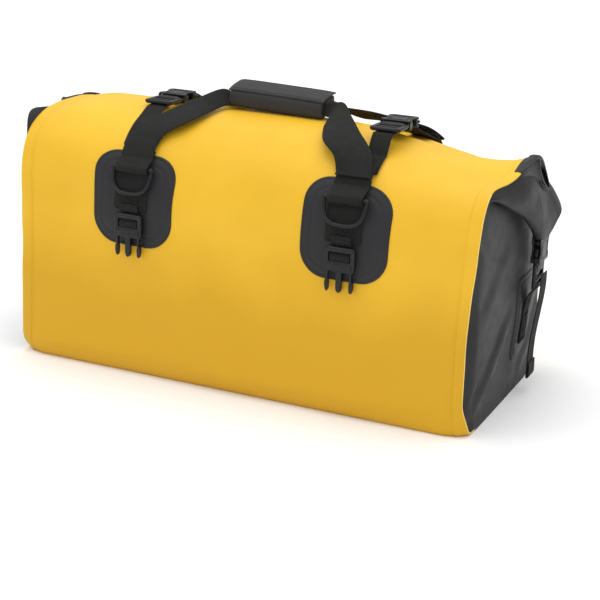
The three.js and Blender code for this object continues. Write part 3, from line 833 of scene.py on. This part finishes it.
def build_handle(label, side, mid_y, mid_z, mid_across, entry):
    """One handle: two flat legs that twist and fold narrow as they enter the grip."""
    pivot_y, pivot_z = side * HANDLE_PIVOT[0], HANDLE_PIVOT[1]

    def y(share):
        return pivot_y + (mid_y - pivot_y) * share

    toward = -side
    slack = 0.0 if side == FRONT else 8.0     # how far the legs sink on the way to the grip
    stations = [
        ((-STATION, side * (HANDLE_PIVOT[0] + 3.0), pivot_z - 3.5), (WEB / 2, 0, 0)),
        ((-STATION, pivot_y, pivot_z), (WEB / 2, 0, 0)),
        ((-131, y(0.16), 305 - 0.6 * slack), (20.5, -7 * toward, -3)),
        ((-108, y(0.37), 319.5 - slack), (17, -14 * toward, -5)),
        ((-90, y(0.66), 330 - slack), (12, -13 * toward, -7)),
        ((-77, y(0.93), 337 - 0.5 * slack), *entry[:1]),
        ((-GRIP_HALF - 1, mid_y, mid_z), *entry[1:]),
        ((-GRIP_HALF + 22, mid_y, mid_z), mid_across),
    ]
    shell = Shell()
    for mirror in (1, -1):
        at = np.array([s[0] for s in stations], float)
        side_way = np.array([s[1] for s in stations], float)
        path = curve(np.hstack([at, side_way]), 84)
        centres, across = path[:, :3], path[:, 3:]
        if mirror < 0:
            centres = centres * [-1, 1, 1]
            across = across * [1, -1, -1]
        shell.ribbon(centres, across, 2.0)
    flap, handle = ("front_flap", "front_handle") if side == FRONT else ("rear_flap", "rear_handle")
    start = (0, (pivot_y + side * 3.5) * MM, (pivot_z - 5.0) * MM)
    end = (0, (pivot_y - side * 3.0) * MM, (pivot_z + 5.5) * MM)
    make_piece(f"handle_{label}", shell, WEBBING, (f"handle_webbing_{label}",),
               blend=(flap, handle, start, end))


# ---- Straps over the top ----
def build_top_straps():
    for label, side_x in ENDS:
        x0 = side_x * STRAP_X
        low, _ = box_mm(f"top_strap_front_{label}")
        us, _ = u_along(x0, u_at_height(x0, max(low[2], HINGE_Z + 3)), 3.74, FRONT, 30)
        on = skin(x0, us, FRONT, 1.6)
        plug_low, _ = box_mm(f"top_plug_{label}")
        bar = plug_low + [(0, -5.0, -2.2), (0, 3.0, -0.4), (0, 12.0, -0.5)]
        bar[:, 0] = x0
        path = curve(np.vstack([on[:-4:3], bar]), 60)
        shell = Shell()
        shell.ribbon(path, [STRAP / 2, 0, 0], STRAP_THICK)
        make_piece(f"strap_over_front_{label}", shell, WEBBING, (f"top_strap_front_{label}",),
                   "front_flap")
        # rear half: out of the socket, over the roll and down to the rear patch
        socket_low, socket_high = box_mm(f"top_socket_{label}")
        us, _ = u_along(x0, u_at_height(x0, HINGE_Z + 3, REAR), 3.9, REAR, 30)
        on = skin(x0, us, REAR, 1.6)[::-1]
        start = [[x0, socket_high[1] - 1.0, (socket_low[2] + socket_high[2]) / 2],
                 [x0, socket_high[1] + 10, ridge_height(x0) + 5.5],
                 [x0, socket_high[1] + 26, ridge_height(x0) - 1.0]]
        path = curve(np.vstack([start, on[8::3]]), 70)
        shell = Shell()
        shell.ribbon(path, [STRAP / 2, 0, 0], STRAP_THICK)
        make_piece(f"strap_over_rear_{label}", shell, WEBBING, (f"top_strap_rear_{label}",),
                   "rear_flap")


# ---- The rolled mouth ----
ROLL_Y, ROLL_Z = 6.0, 297.0


def roll_drop(x):
    """How far the roll sags at x, with the ridge."""
    return ridge_height(x) - ridge_height(np.zeros_like(np.asarray(x, float)))


def build_roll():
    turns, count = 1.85, 120
    t = np.linspace(0, 1, count)
    angle = math.radians(104) - t * turns * 2 * math.pi
    half_y = 35.5 - 13 * t * turns
    half_z = 20.5 - 7.0 * t * turns
    cols = np.linspace(-294, 294, 99)
    x = np.broadcast_to(cols, (count, 99))
    drop = np.broadcast_to(roll_drop(cols), (count, 99))
    wave = 0.5 * SHORT_WAVE(x, angle[:, None] * 30)
    y = ROLL_Y + (half_y[:, None] + wave) * np.cos(angle)[:, None]
    z = ROLL_Z + drop + (half_z[:, None] + wave) * np.sin(angle)[:, None]
    outer = np.stack([x, y, z], -1)
    du = np.gradient(outer, axis=0)
    dv = np.gradient(outer, axis=1)
    normal = unit(np.cross(du, dv))
    if normal[10, 50] @ (outer[10, 50] - [outer[10, 50, 0], ROLL_Y, ROLL_Z]) < 0:
        normal = -normal
    inner = outer - normal * 2.6
    run = np.zeros((count, 99))
    run[1:] = np.cumsum(np.linalg.norm(np.diff(outer, axis=0), axis=-1), axis=0)
    shell = Shell()
    shell.grid(outer, inner, np.stack([x, run], -1))
    stand_in("closure_roll", "cloth", shell, YELLOW)


def build_stiffener():
    """The stiff strip inside the roll, sagging with it."""
    low, high = box_mm("mouth_stiffener")
    cols = np.linspace(low[0], high[0], 60)
    y = np.broadcast_to(np.linspace(low[1], high[1], 5), (60, 5))
    x = np.broadcast_to(cols[:, None], (60, 5))
    drop = np.broadcast_to(roll_drop(cols)[:, None], (60, 5))
    shell = Shell()
    shell.grid(np.stack([x, y, drop + high[2]], -1), np.stack([x, y, drop + low[2]], -1),
               np.stack([x, y], -1))
    stand_in("mouth_stiffener", "strip", shell, PLASTIC)


def roof_edge(side_x, count):
    """The yellow roof's end edge from the front shoulder over the top to the rear shoulder."""
    x = side_x * (HALF_LENGTH - 1)
    front_u = np.linspace(u_at_height(x, 268), 4.3, 200)
    rear_u = np.linspace(4.0, u_at_height(x, 268, REAR), 200)
    return spaced(np.vstack([skin(x, front_u, FRONT, -CLOTH - 0.2),
                             skin(x, rear_u, REAR, -CLOTH - 0.2)]), count)


def hood(shell, side_x, count=90):
    """The grey cloth of the end, folded down outside the end panel and gathered to the roll."""
    top = roof_edge(side_x, count)
    edge = curve([(295, -119, 274), (306, -98, 269), (313, -62, 254), (318, -22, 236),
                  (322, 10, 213), (324, 27, 198), (326, 50, 200), (329, 70, 212),
                  (330, 86, 224), (316, 108, 238), (298, 124, 246)], count)
    edge[:, 0] *= side_x
    hood_wave = Waves(45)
    bow = np.sin(np.linspace(0, math.pi, count))
    rows = []
    for s in np.linspace(0, 1, 30):
        row = top * (1 - s) + edge * s
        wave = 1.1 * hood_wave(row[:, 1], row[:, 2]) * math.sin(math.pi * s)
        row[:, 0] += side_x * (9.0 * math.sin(math.pi * s * 0.9) + wave) * bow ** 0.8
        if side_x < 0:
            # a fold stands up behind the front shoulder
            lift = 14 * math.sin(math.pi * s ** 0.4) * np.exp(-((np.arange(count) - 15) / 9) ** 2)
            row += lift[:, None] * [-0.5, -0.45, 1.0]
        rows.append(row)
    # the free edge turns under, towards the end panel
    for inward, lift in ((1.2, -1.6), (3.0, -2.0), (5.0, -1.2), (7.5, 1.5), (9.5, 6.0)):
        rows.append(edge + np.outer(bow ** 0.6, [-side_x * inward, 0, lift]))
    outer = np.stack(rows)
    normal = unit(np.cross(np.gradient(outer, axis=1), np.gradient(outer, axis=0)))
    if normal[10, 45, 0] * side_x < 0:
        normal = -normal
    shell.grid(outer, outer - normal * 2.0, outer[..., 1:])


def sleeve(shell, side_x, count=64):
    """The roll's own end: a grey sleeve over the yellow edge, pressed flat and turned down."""
    angles = np.linspace(0, 2 * math.pi, count, endpoint=False)
    round_y, round_z = np.cos(angles), np.sin(angles)
    stages = np.linspace(0, 1, 24)
    crest = ridge_height(side_x * HALF_LENGTH)
    apex, foot = np.array([-16.0, crest + 2.5]), np.array([52.0, crest - 50.0])
    half = np.linalg.norm(foot - apex) / 2
    along = (foot - apex) / (2 * half)
    beside = np.array([-along[1], along[0]])
    if side_x > 0:
        near, cloth_end = 309 - 1.5 * round_y, 314.5
    else:
        near, cloth_end = 297 + 2 * round_y, 301.5
        apex[1] -= 12
        half = np.linalg.norm(foot - apex) / 2
    ridge = skin(side_x * (HALF_LENGTH - 2), np.linspace(3.2, 4.9, 200), FRONT)
    layers = []
    for inset in (0.0, 2.0):
        y0 = -2 - (48 - inset) * round_y
        behind = crest - 18 * (1 - np.sqrt(np.clip(1 - ((y0 + 2) / 48) ** 2, 0, 1)))
        upper = np.where(y0 < -2, np.interp(y0, ridge[:, 1], ridge[:, 2]), behind) + 1.9 - inset
        under = upper - (27 - 2 * inset) * np.sqrt(1 - round_y ** 2)
        start = np.stack([y0, np.where(round_z >= 0, upper, under)], 1)
        slit = (7.5 - inset) * round_z * (1 + 0.25 * round_y)
        end = ((apex + foot) / 2 - round_y[:, None] * (half - inset * 1.5) * along
               + slit[:, None] * beside)
        loops = []
        for s in stages:
            x = near * (1 - s) + (325.5 + 1.5 * round_y) * s
            turn = smooth(x, cloth_end, 326)[:, None]
            loops.append(np.column_stack([side_x * x, start * (1 - turn) + end * turn]))
        layers.append(np.stack(loops))
    uv = np.stack(np.broadcast_arrays(angles * 30, stages[:, None] * 30), -1)
    shell.grid(*layers, uv, wrap=True)


def build_roll_end(label, side_x):
    shell = Shell()
    hood(shell, side_x)
    sleeve(shell, side_x)
    stand_in(f"roll_end_{label}", "hood", shell, GREY, smooth_by=50)


# ---- End straps ----
END_Y = 42.0


def build_end(label, side_x):
    """The end patch, the strap under the plug, the strap above the socket and the loose tail."""
    low, high = box_mm(f"end_patch_{label}")
    half_y, half_z = (high[1] - low[1]) / 2, (high[2] - low[2]) / 2
    mid_y, mid_z = (high[1] + low[1]) / 2, (high[2] + low[2]) / 2
    count = 100
    rings = [(0, 0.1), (0.3, 0.8), (1.2, 1.3), (4, 1.4), (4.8, 1.0), (5.8, 1.0), (6.6, 1.45)]
    rings += [(d, 1.5) for d in (12, 18, 24, 30, 34.4)]
    outer, inner, uv = [], [], []
    for inset, height in rings:
        w = max(half_y - inset, 0.5)
        radius = min(max(16 - inset, 2), w)
        loop = rounded_rect(w, max(half_z - inset, 0.5), radius, count)
        y, z = mid_y + loop[:, 0], mid_z + loop[:, 1]
        x = end_x(y, z, side_x)
        outer.append(np.stack([x + side_x * height, y, z], 1))
        inner.append(np.stack([x - side_x * 0.1, y, z], 1))
        uv.append(loop)
    shell = Shell()
    shell.disc(np.array(outer), np.array(inner), np.array(uv), hole=-1)
    stand_in(f"end_patch_{label}", "welded", shell, PATCH)
    # lower strap: sewn to the patch, then up to the plug's bar
    z_sewn = np.linspace(62, 104, 8)
    on = np.stack([end_x(np.full(8, END_Y), z_sewn, side_x) + side_x * 2.6, np.full(8, END_Y),
                   z_sewn], 1)
    plug_low, _ = box_mm(f"end_plug_{label}")
    plug_x = side_x * 318.5
    path = curve(np.vstack([on, [[side_x * 312.5, END_Y, 124], [plug_x, END_Y, plug_low[2] - 0.5],
                                 [plug_x + side_x * 1.0, END_Y, plug_low[2] + 1.5]]]), 50)
    path = path[path[:, 2] < plug_low[2] + 1.0]
    shell = Shell()
    shell.ribbon(path, [0, side_x * STRAP / 2, 0], STRAP_THICK)
    for z in (66, 78, 98):
        ys = np.linspace(END_Y - 10, END_Y + 10, 6)
        row = np.stack([end_x(ys, np.full(6, z), side_x) + side_x * 3.4, ys, np.full(6, z)], 1)
        shell.stitches(row, [side_x, 0, 0], **STRAP_STITCH)
    stand_in(f"end_strap_lower_{label}", "sewn", shell, WEBBING)
    # upper strap: from inside the hood down into the socket
    _, socket_high = box_mm(f"end_socket_{label}")
    path = curve([(side_x * 317.5, END_Y, 244), (side_x * 318.5, END_Y, 226),
                  (side_x * 319, END_Y, 212), (side_x * 319.5, END_Y, socket_high[2] + 0.6)], 30)
    shell = Shell()
    shell.ribbon(path, [0, side_x * STRAP / 2, 0], STRAP_THICK)
    stand_in(f"end_strap_upper_{label}", "web", shell, WEBBING)
    # the loose tail: hangs from the plug's bar, with its end folded up and sewn
    tail_low, tail_high = box_mm(f"end_tail_{label}")
    z = np.linspace(tail_high[2] - 1, tail_low[2] + 1, 9)
    sway = 1.4 * np.sin(np.linspace(0, 2.6, 9))
    lean_in = smooth(np.linspace(0, 1, 9), 0.05, 0.75)
    path = np.stack([side_x * (327.4 + sway * 0.7 - 8.0 * lean_in), END_Y - 7.0 * lean_in,
                     z - 7.0 * lean_in], 1)
    hook = np.array([[side_x * 321.9, END_Y - 7, tail_low[2] - 6.2],
                     [side_x * 322.6, END_Y - 7, tail_low[2] - 1],
                     [side_x * 322.4, END_Y - 7, tail_low[2] + 13]])
    path = curve(np.vstack([path, hook]), 70)
    shell = Shell()
    shell.ribbon(path, [0, side_x * STRAP / 2, 0], STRAP_THICK)
    stand_in(f"end_tail_{label}", "web", shell, WEBBING)


# ---- Buckles ----
# Drawn in (u, v, w): u across the webbing, v from the plug's bar towards its prongs, w the
# thickness. place() turns that into the scene's millimetres.
BUCKLE_HALF = 18.8
FRAME_LENGTH = 31.0                          # from the plug's bar to the root of its prongs
SHORT_FRAME = 27.0                           # the same on the plugs without a ladder


def fillet(points, radius, steps=4):
    """A closed outline with its corners rounded."""
    p = np.asarray(points, float)
    out = []
    for before, here, after in zip(np.roll(p, 1, 0), p, np.roll(p, -1, 0)):
        a, b = before - here, after - here
        la, lb = np.linalg.norm(a), np.linalg.norm(b)
        start, end = here + a / la * min(radius, la / 2.1), here + b / lb * min(radius, lb / 2.1)
        for t in np.linspace(0, 1, steps):
            out.append((1 - t) ** 2 * start + 2 * t * (1 - t) * here + t * t * end)
    return np.array(out)


def both_sides(points):
    """A right-hand outline and its mirror image about u = 0, as one closed outline."""
    p = np.asarray(points, float)
    return np.vstack([p, (p * [-1, 1])[::-1]])


def moulding(shell, place, outlines, thick, w=0.0, bevel=0.7):
    """A plate with rounded edges, from its outer outline and then its holes."""
    data = bpy.data.curves.new("moulding", "CURVE")
    data.dimensions = "2D"
    data.fill_mode = "BOTH"
    data.extrude = thick / 2 - bevel
    data.bevel_depth = bevel
    data.bevel_resolution = 2
    data.offset = -bevel
    for outline in outlines:
        spline = data.splines.new("POLY")
        spline.points.add(len(outline) - 1)
        for point, (u, v) in zip(spline.points, outline):
            point.co = (u, v, 0, 1)
        spline.use_cyclic_u = True
    holder = bpy.data.objects.new("moulding", data)
    bm = bmesh.new()
    mesh = bpy.data.meshes.new_from_object(holder)
    bm.from_mesh(mesh)
    bmesh.ops.remove_doubles(bm, verts=bm.verts, dist=1e-3)
    bmesh.ops.recalc_face_normals(bm, faces=bm.faces)
    points = np.array([v.co for v in bm.verts]) + [0, 0, w]
    faces = [[v.index for v in f.verts] for f in bm.faces]
    shell.add(place(points), faces, points[:, :2])
    bm.free()
    bpy.data.objects.remove(holder)
    bpy.data.meshes.remove(mesh)
    bpy.data.curves.remove(data)


def placer(origin, u, v, w):
    """A function that turns a buckle's (u, v, w) into the scene's millimetres."""
    axes = np.array([u, v, w], float)
    return lambda points: np.asarray(points, float) @ axes + np.asarray(origin, float)


def rod(shell, place, a, b, radius, aspect=1.0):
    shell.tube(place(np.linspace(a, b, 14)), radius, sides=14, aspect=aspect)


def plug(shell, place, frame_length, prong, ladder):
    """The male half: a bar, side rails, a cross plate, a ribbed guide and two barbed arms."""
    end = frame_length
    outline = fillet(both_sides([(BUCKLE_HALF, -1.2), (BUCKLE_HALF, end - 6), (17.0, end - 1),
                                 (9, end)]), 1.8)
    windows = [(3.4, end - 12.5)]
    if ladder:
        windows = [(3.4, 8.6), (12.4, end - 11.5)]
    holes = [fillet([(-13.6, a), (13.6, a), (13.6, b), (-13.6, b)], 1.2) for a, b in windows]
    moulding(shell, place, [outline] + holes, 4.4)
    rod(shell, place, (-15.6, 0, 0), (15.6, 0, 0), 2.9)
    if ladder:
        rod(shell, place, (-14, 10.5, 0.6), (14, 10.5, 0.6), 1.9)
    moulding(shell, place, [fillet(both_sides([(15.2, end - 10.5), (15.2, end - 1.2)]), 2.0)], 6.6,
             bevel=1.3)
    for v in (end - 7.6, end - 5.2, end - 2.8):
        rod(shell, place, (-10, v, 3.0), (10, v, 3.0), 0.7)
    guide = both_sides([(3.6, end - 2), (3.6, end + prong - 4.5), (1.4, end + prong - 0.6)])
    moulding(shell, place, [fillet(guide, 1.4)], 4.8, bevel=0.8)
    for v in np.linspace(end + 3, end + prong - 6, 5):
        rod(shell, place, (-2.6, v, 2.2), (2.6, v, 2.2), 0.55)
    arm = np.array([(13.0, end - 3), (16.4, end - 3), (15.6, end + 0.30 * prong),
                    (17.5, end + 0.45 * prong), (17.7, end + 0.68 * prong),
                    (16.4, end + 0.9 * prong), (14.8, end + prong - 0.4),
                    (13.0, end + 0.86 * prong), (12.5, end + 0.6 * prong),
                    (12.9, end + 0.42 * prong), (13.4, end + 0.3 * prong)])
    for sign in (1, -1):
        moulding(shell, place, [fillet(arm * [sign, 1], 1.3)], 5.2, bevel=1.0)
        rod(shell, place, (sign * 17.0, 0.5, 0), (sign * 16.6, end - 2, 0), 1.7, aspect=1.5)


def socket(shell, place, length):
    """The female half: two plates with finger cut-outs, joined by a rear block and bar."""
    outline = fillet(both_sides([(17.4, 0), (19.0, 2.4), (19.0, 7.6), (15.6, 11.2), (14.9, 16.5),
                                 (15.8, 21.5), (19.0, 25.5), (19.0, length - 3.5),
                                 (16.8, length)]), 2.2)
    slot = fillet([(-13.2, length - 6.6), (13.2, length - 6.6), (13.2, length - 3.4),
                   (-13.2, length - 3.4)], 1.0)
    for w in (-4.6, 4.6):
        moulding(shell, place, [outline, slot], 2.6, w=w, bevel=0.8)
    moulding(shell, place, [fillet(both_sides([(18.4, length - 10.6), (18.4, length - 7.0)]), 1.0)],
             7.6, bevel=0.5)
    rod(shell, place, (-17.6, length - 1.9, 0), (17.6, length - 1.9, 0), 1.8, aspect=2.6)
    for sign in (1, -1):
        moulding(shell, place, [fillet([(sign * 18.2, 0.8), (sign * 18.9, 0.8), (sign * 18.9, 7.4),
                                        (sign * 18.2, 7.4)], 0.3)], 8.4, bevel=0.25)
    # a raised border on the outer plate
    border = fillet(both_sides([(12.6, 4.0), (12.0, 16.5), (12.6, length - 10.0)]), 3.0)
    inner = fillet(both_sides([(11.4, 5.2), (10.8, 16.5), (11.4, length - 11.2)]), 2.4)
    moulding(shell, place, [border, inner], 1.0, w=5.9, bevel=0.35)


def build_buckles():
    for label, side, x0 in STATIONS:
        low, _ = box_mm(f"accessory_plug_{label}")
        place = placer((x0, side * LOOP_BAR[0], LOOP_BAR[1]), (1, 0, 0), (0, 0, -1), (0, side, 0))
        shell = Shell()
        plug(shell, place, SHORT_FRAME, LOOP_BAR[1] - SHORT_FRAME - low[2], False)
        finish_buckle(shell, f"accessory_plug_{label}")
    for label, sign in ENDS:
        for where in ("top", "end"):
            low, high = box_mm(f"{where}_plug_{label}")
            mid = (low + high) / 2
            if where == "top":
                axes = ((1, 0, 0), (0, 1, 0), (0, 0, 1))
                start = (mid[0], low[1] + 3.0, mid[2])
                reach = high[1] - low[1]
            else:
                axes = ((0, sign, 0), (0, 0, 1), (sign, 0, 0))
                start = (mid[0], mid[1], low[2] + 3.0)
                reach = high[2] - low[2]
            shell = Shell()
            plug(shell, placer(start, *axes), FRAME_LENGTH, reach - 3.0 - FRAME_LENGTH, True)
            finish_buckle(shell, f"{where}_plug_{label}")
            low, high = box_mm(f"{where}_socket_{label}")
            mid = (low + high) / 2
            start = (mid[0], low[1], mid[2]) if where == "top" else (mid[0], mid[1], low[2])
            shell = Shell()
            socket(shell, placer(start, *axes), (high - low)[1 if where == "top" else 2])
            finish_buckle(shell, f"{where}_socket_{label}")


def finish_buckle(shell, node):
    stand_in(node, "moulded", shell, PLASTIC, smooth_by=38)


# ---- Grip ----
# each half of the grip in (y, z) from the grip's centre
GRIP_SECTIONS = {
    "front": [(-20.5, -7), (-20.8, 1), (-19.5, 7), (-16.5, 9.0), (-12, 8), (-8, 0), (-4, -8),
              (-4.5, -12), (-10, -12.8), (-16.5, -11.5)],
    "rear": [(-2.0, -12), (8, -12.6), (16, -11), (20, -5), (20.6, 1), (19, 5.8), (10, 7.6),
             (-2, 7.8), (-9.5, 7.4), (-5.8, 0.0)],
}


def pad(shell, outline, x0, x1, crown=1.2):
    """A stuffed pad: an outline in (y, z) lofted along x, with soft ends."""
    loop = curve(outline, 64, closed=True)
    centre = loop.mean(axis=0)
    half = (x1 - x0) / 2
    t = np.r_[-1, -0.992, -0.97, -0.94, np.linspace(-0.9, 0.9, 25), 0.94, 0.97, 0.992, 1]
    size = np.r_[0.86, 0.94, 0.985, 1.0, np.ones(25), 1.0, 0.985, 0.94, 0.86]
    scale = size + crown * (1 - t ** 2) / 20 - 0.03
    section = centre + (loop - centre) * scale[:, None, None]
    x = np.broadcast_to(((x0 + x1) / 2 + half * t)[:, None, None], (len(t), 64, 1))
    rings = np.concatenate([x, section], -1)
    run = np.broadcast_to(np.linspace(0, 120, 64), rings.shape[:2])
    shell.loft(rings, np.stack([run, rings[..., 0]], -1))


def lean(shell):
    """The grip lies a little off the middle, with its left end higher and its top turned to
    the front."""
    for block in shell.points:
        block[:, 0] -= 6.0
        block[:, 2] += 0.2 * (block[:, 1] - GRIP_CENTRE[0]) - 0.03 * block[:, 0] - 2.5


def build_grip():
    cy, cz = GRIP_CENTRE
    for half, section in GRIP_SECTIONS.items():
        shell = Shell()
        pad(shell, np.array(section) + GRIP_CENTRE, -GRIP_HALF, GRIP_HALF)
        lean(shell)
        piece = stand_in(f"grip_{half}", "pad", shell, GRIP)
    # the closing flap over the top, with a line of stitches along its edges
    cols = np.linspace(-GRIP_HALF - 1, GRIP_HALF + 1, 45)
    section = curve([(cy + 19.8, cz + 9.2), (cy + 12, cz + 10.8), (cy, cz + 11.4),
                     (cy - 12, cz + 11.2), (cy - 18.5, cz + 10.2)], 26)
    x = np.broadcast_to(cols[:, None], (45, 26))
    outer = np.stack([x, np.broadcast_to(section[:, 0], (45, 26)),
                      np.broadcast_to(section[:, 1], (45, 26)) + 1.2
                      - 0.7 * (np.abs(x) / GRIP_HALF) ** 6], -1)
    inner = outer - [0, 0, 2.0]
    shell = Shell()
    shell.grid(outer, inner, np.stack([x, outer[..., 1]], -1))
    for y in (cy + 16.5, cy - 15.5):
        xs = np.linspace(-GRIP_HALF + 3, GRIP_HALF - 3, 40)
        row = np.stack([xs, np.full(40, y),
                        np.interp(y, section[::-1, 0], section[::-1, 1]) + 1.25
                        - 0.7 * (np.abs(xs) / GRIP_HALF) ** 6], 1)
        shell.stitches(row, [0, 0, 1], pitch=4.2, size=3.0, radius=0.4)
    lean(shell)
    stand_in("grip_flap", "pad", shell, GRIP)


# ---- Base board ----
def build_board():
    """The stiff board inside, its rear corners cut to the cloth's rounder ends."""
    low, high = box_mm("base_board")
    cols = np.linspace(low[0], high[0], 81)
    rear_y = np.minimum(high[1], HALF_DEPTH - lower_radius(cols, REAR) - 4)
    front_y = np.full(81, low[1])
    share = np.linspace(0, 1, 9)
    y = front_y[:, None] * (1 - share) + rear_y[:, None] * share
    x = np.broadcast_to(cols[:, None], y.shape)
    outer = np.stack([x, y, np.full_like(y, high[2])], -1)
    inner = np.stack([x, y, np.full_like(y, low[2])], -1)
    shell = Shell()
    shell.grid(outer, inner, np.stack([x, y], -1))
    stand_in("base_board", "cut", shell, BOARD)


# ---- Put together ----
build_skin()
for end_label, end_side in ENDS:
    build_end_panel(f"end_panel_{end_label}", end_side)
    build_roll_end(end_label, end_side)
    build_end(end_label, end_side)
build_seam_lips()
for station_label, station_side, station_x in STATIONS:
    build_patch(f"patch_{station_label}", station_x, station_side)
    build_station(station_label, station_side, station_x)
build_handle("front", FRONT, GRIP_CENTRE[0] - 15.0, GRIP_CENTRE[1] - 6.6, (0, 0, -6.5),
             ((6, -9, -9), (1, -3, -8)))
build_handle("rear", REAR, GRIP_CENTRE[0] + 3, GRIP_CENTRE[1] - 2.5, (0, 9, 1.8),
             ((9, 12, -4), (2, 10, 1)))
build_top_straps()
build_roll()
build_stiffener()
build_grip()
build_board()
build_buckles()


# ---- Floor, light and camera ----
def build_stage():
    bpy.ops.mesh.primitive_plane_add(size=40)
    floor = bpy.context.object
    floor.name = "floor"
    n = Nodes("floor_white")
    n.drive(Base_Color=n.tint(n.noise(1.5), (0.955, 0.955, 0.955), (0.965, 0.965, 0.965)))
    n.fix(Roughness=0.9, Specular_IOR_Level=0.1)
    floor.data.materials.append(n.material)


def add_light(name, location, target, size, energy, color=(1, 1, 1)):
    data = bpy.data.lights.new(name, "AREA")
    data.shape = "RECTANGLE"
    data.size, data.size_y = size
    data.energy = energy
    data.color = color
    light = bpy.data.objects.new(name, data)
    light.location = location
    aim = Vector(target) - Vector(location)
    light.rotation_euler = aim.to_track_quat("-Z", "Y").to_euler()
    bpy.context.scene.collection.objects.link(light)


DOME_LOW, DOME_HIGH = 0.20, 1.42


def build_lights():
    world = bpy.context.scene.world or bpy.data.worlds.new("studio")
    bpy.context.scene.world = world
    world.use_nodes = True
    tree = world.node_tree
    background = tree.nodes["Background"]
    # a studio dome: bright overhead, dimmer towards the horizon
    coords = tree.nodes.new("ShaderNodeTexCoord")
    split = tree.nodes.new("ShaderNodeSeparateXYZ")
    ramp = tree.nodes.new("ShaderNodeMapRange")
    for name, value in (("From Min", -0.1), ("From Max", 0.9), ("To Min", DOME_LOW),
                        ("To Max", DOME_HIGH)):
        ramp.inputs[name].default_value = value
    tree.links.new(coords.outputs["Generated"], split.inputs[0])
    tree.links.new(split.outputs["Z"], ramp.inputs["Value"])
    tree.links.new(ramp.outputs[0], background.inputs["Strength"])
    background.inputs["Color"].default_value = (1, 1, 1, 1)
    add_light("key", (-1.5, -1.5, 3.2), (0, 0, 0.2), (1.3, 1.3), 9)
    add_light("top", (0.2, 0.4, 3.0), (0, 0, 0.1), (2.4, 2.0), 18)


AZIMUTH, ELEVATION, ROLL = 24.79, 15.73, 1.79
DISTANCE, LENS = 1.87852, 88.377
SHIFT = (0.0246, -0.1048)


def build_camera():
    az, el, roll = (math.radians(a) for a in (AZIMUTH, ELEVATION, ROLL))
    back = Vector((math.sin(az) * math.cos(el), -math.cos(az) * math.cos(el), math.sin(el)))
    right = Vector((math.cos(az), math.sin(az), 0))
    up = back.cross(right)
    turned_right = right * math.cos(roll) + up * math.sin(roll)
    turned_up = up * math.cos(roll) - right * math.sin(roll)
    data = bpy.data.cameras.new("camera")
    data.lens = LENS
    data.sensor_width = 36
    data.shift_x, data.shift_y = SHIFT
    camera = bpy.data.objects.new("camera", data)
    axes = Matrix((turned_right, turned_up, back)).transposed().to_4x4()
    camera.matrix_world = Matrix.Translation(Vector((0, 0, 0.16)) + back * DISTANCE) @ axes
    bpy.context.scene.collection.objects.link(camera)
    bpy.context.scene.camera = camera


build_stage()
build_lights()
build_camera()
bpy.context.scene.view_settings.view_transform = "Standard"
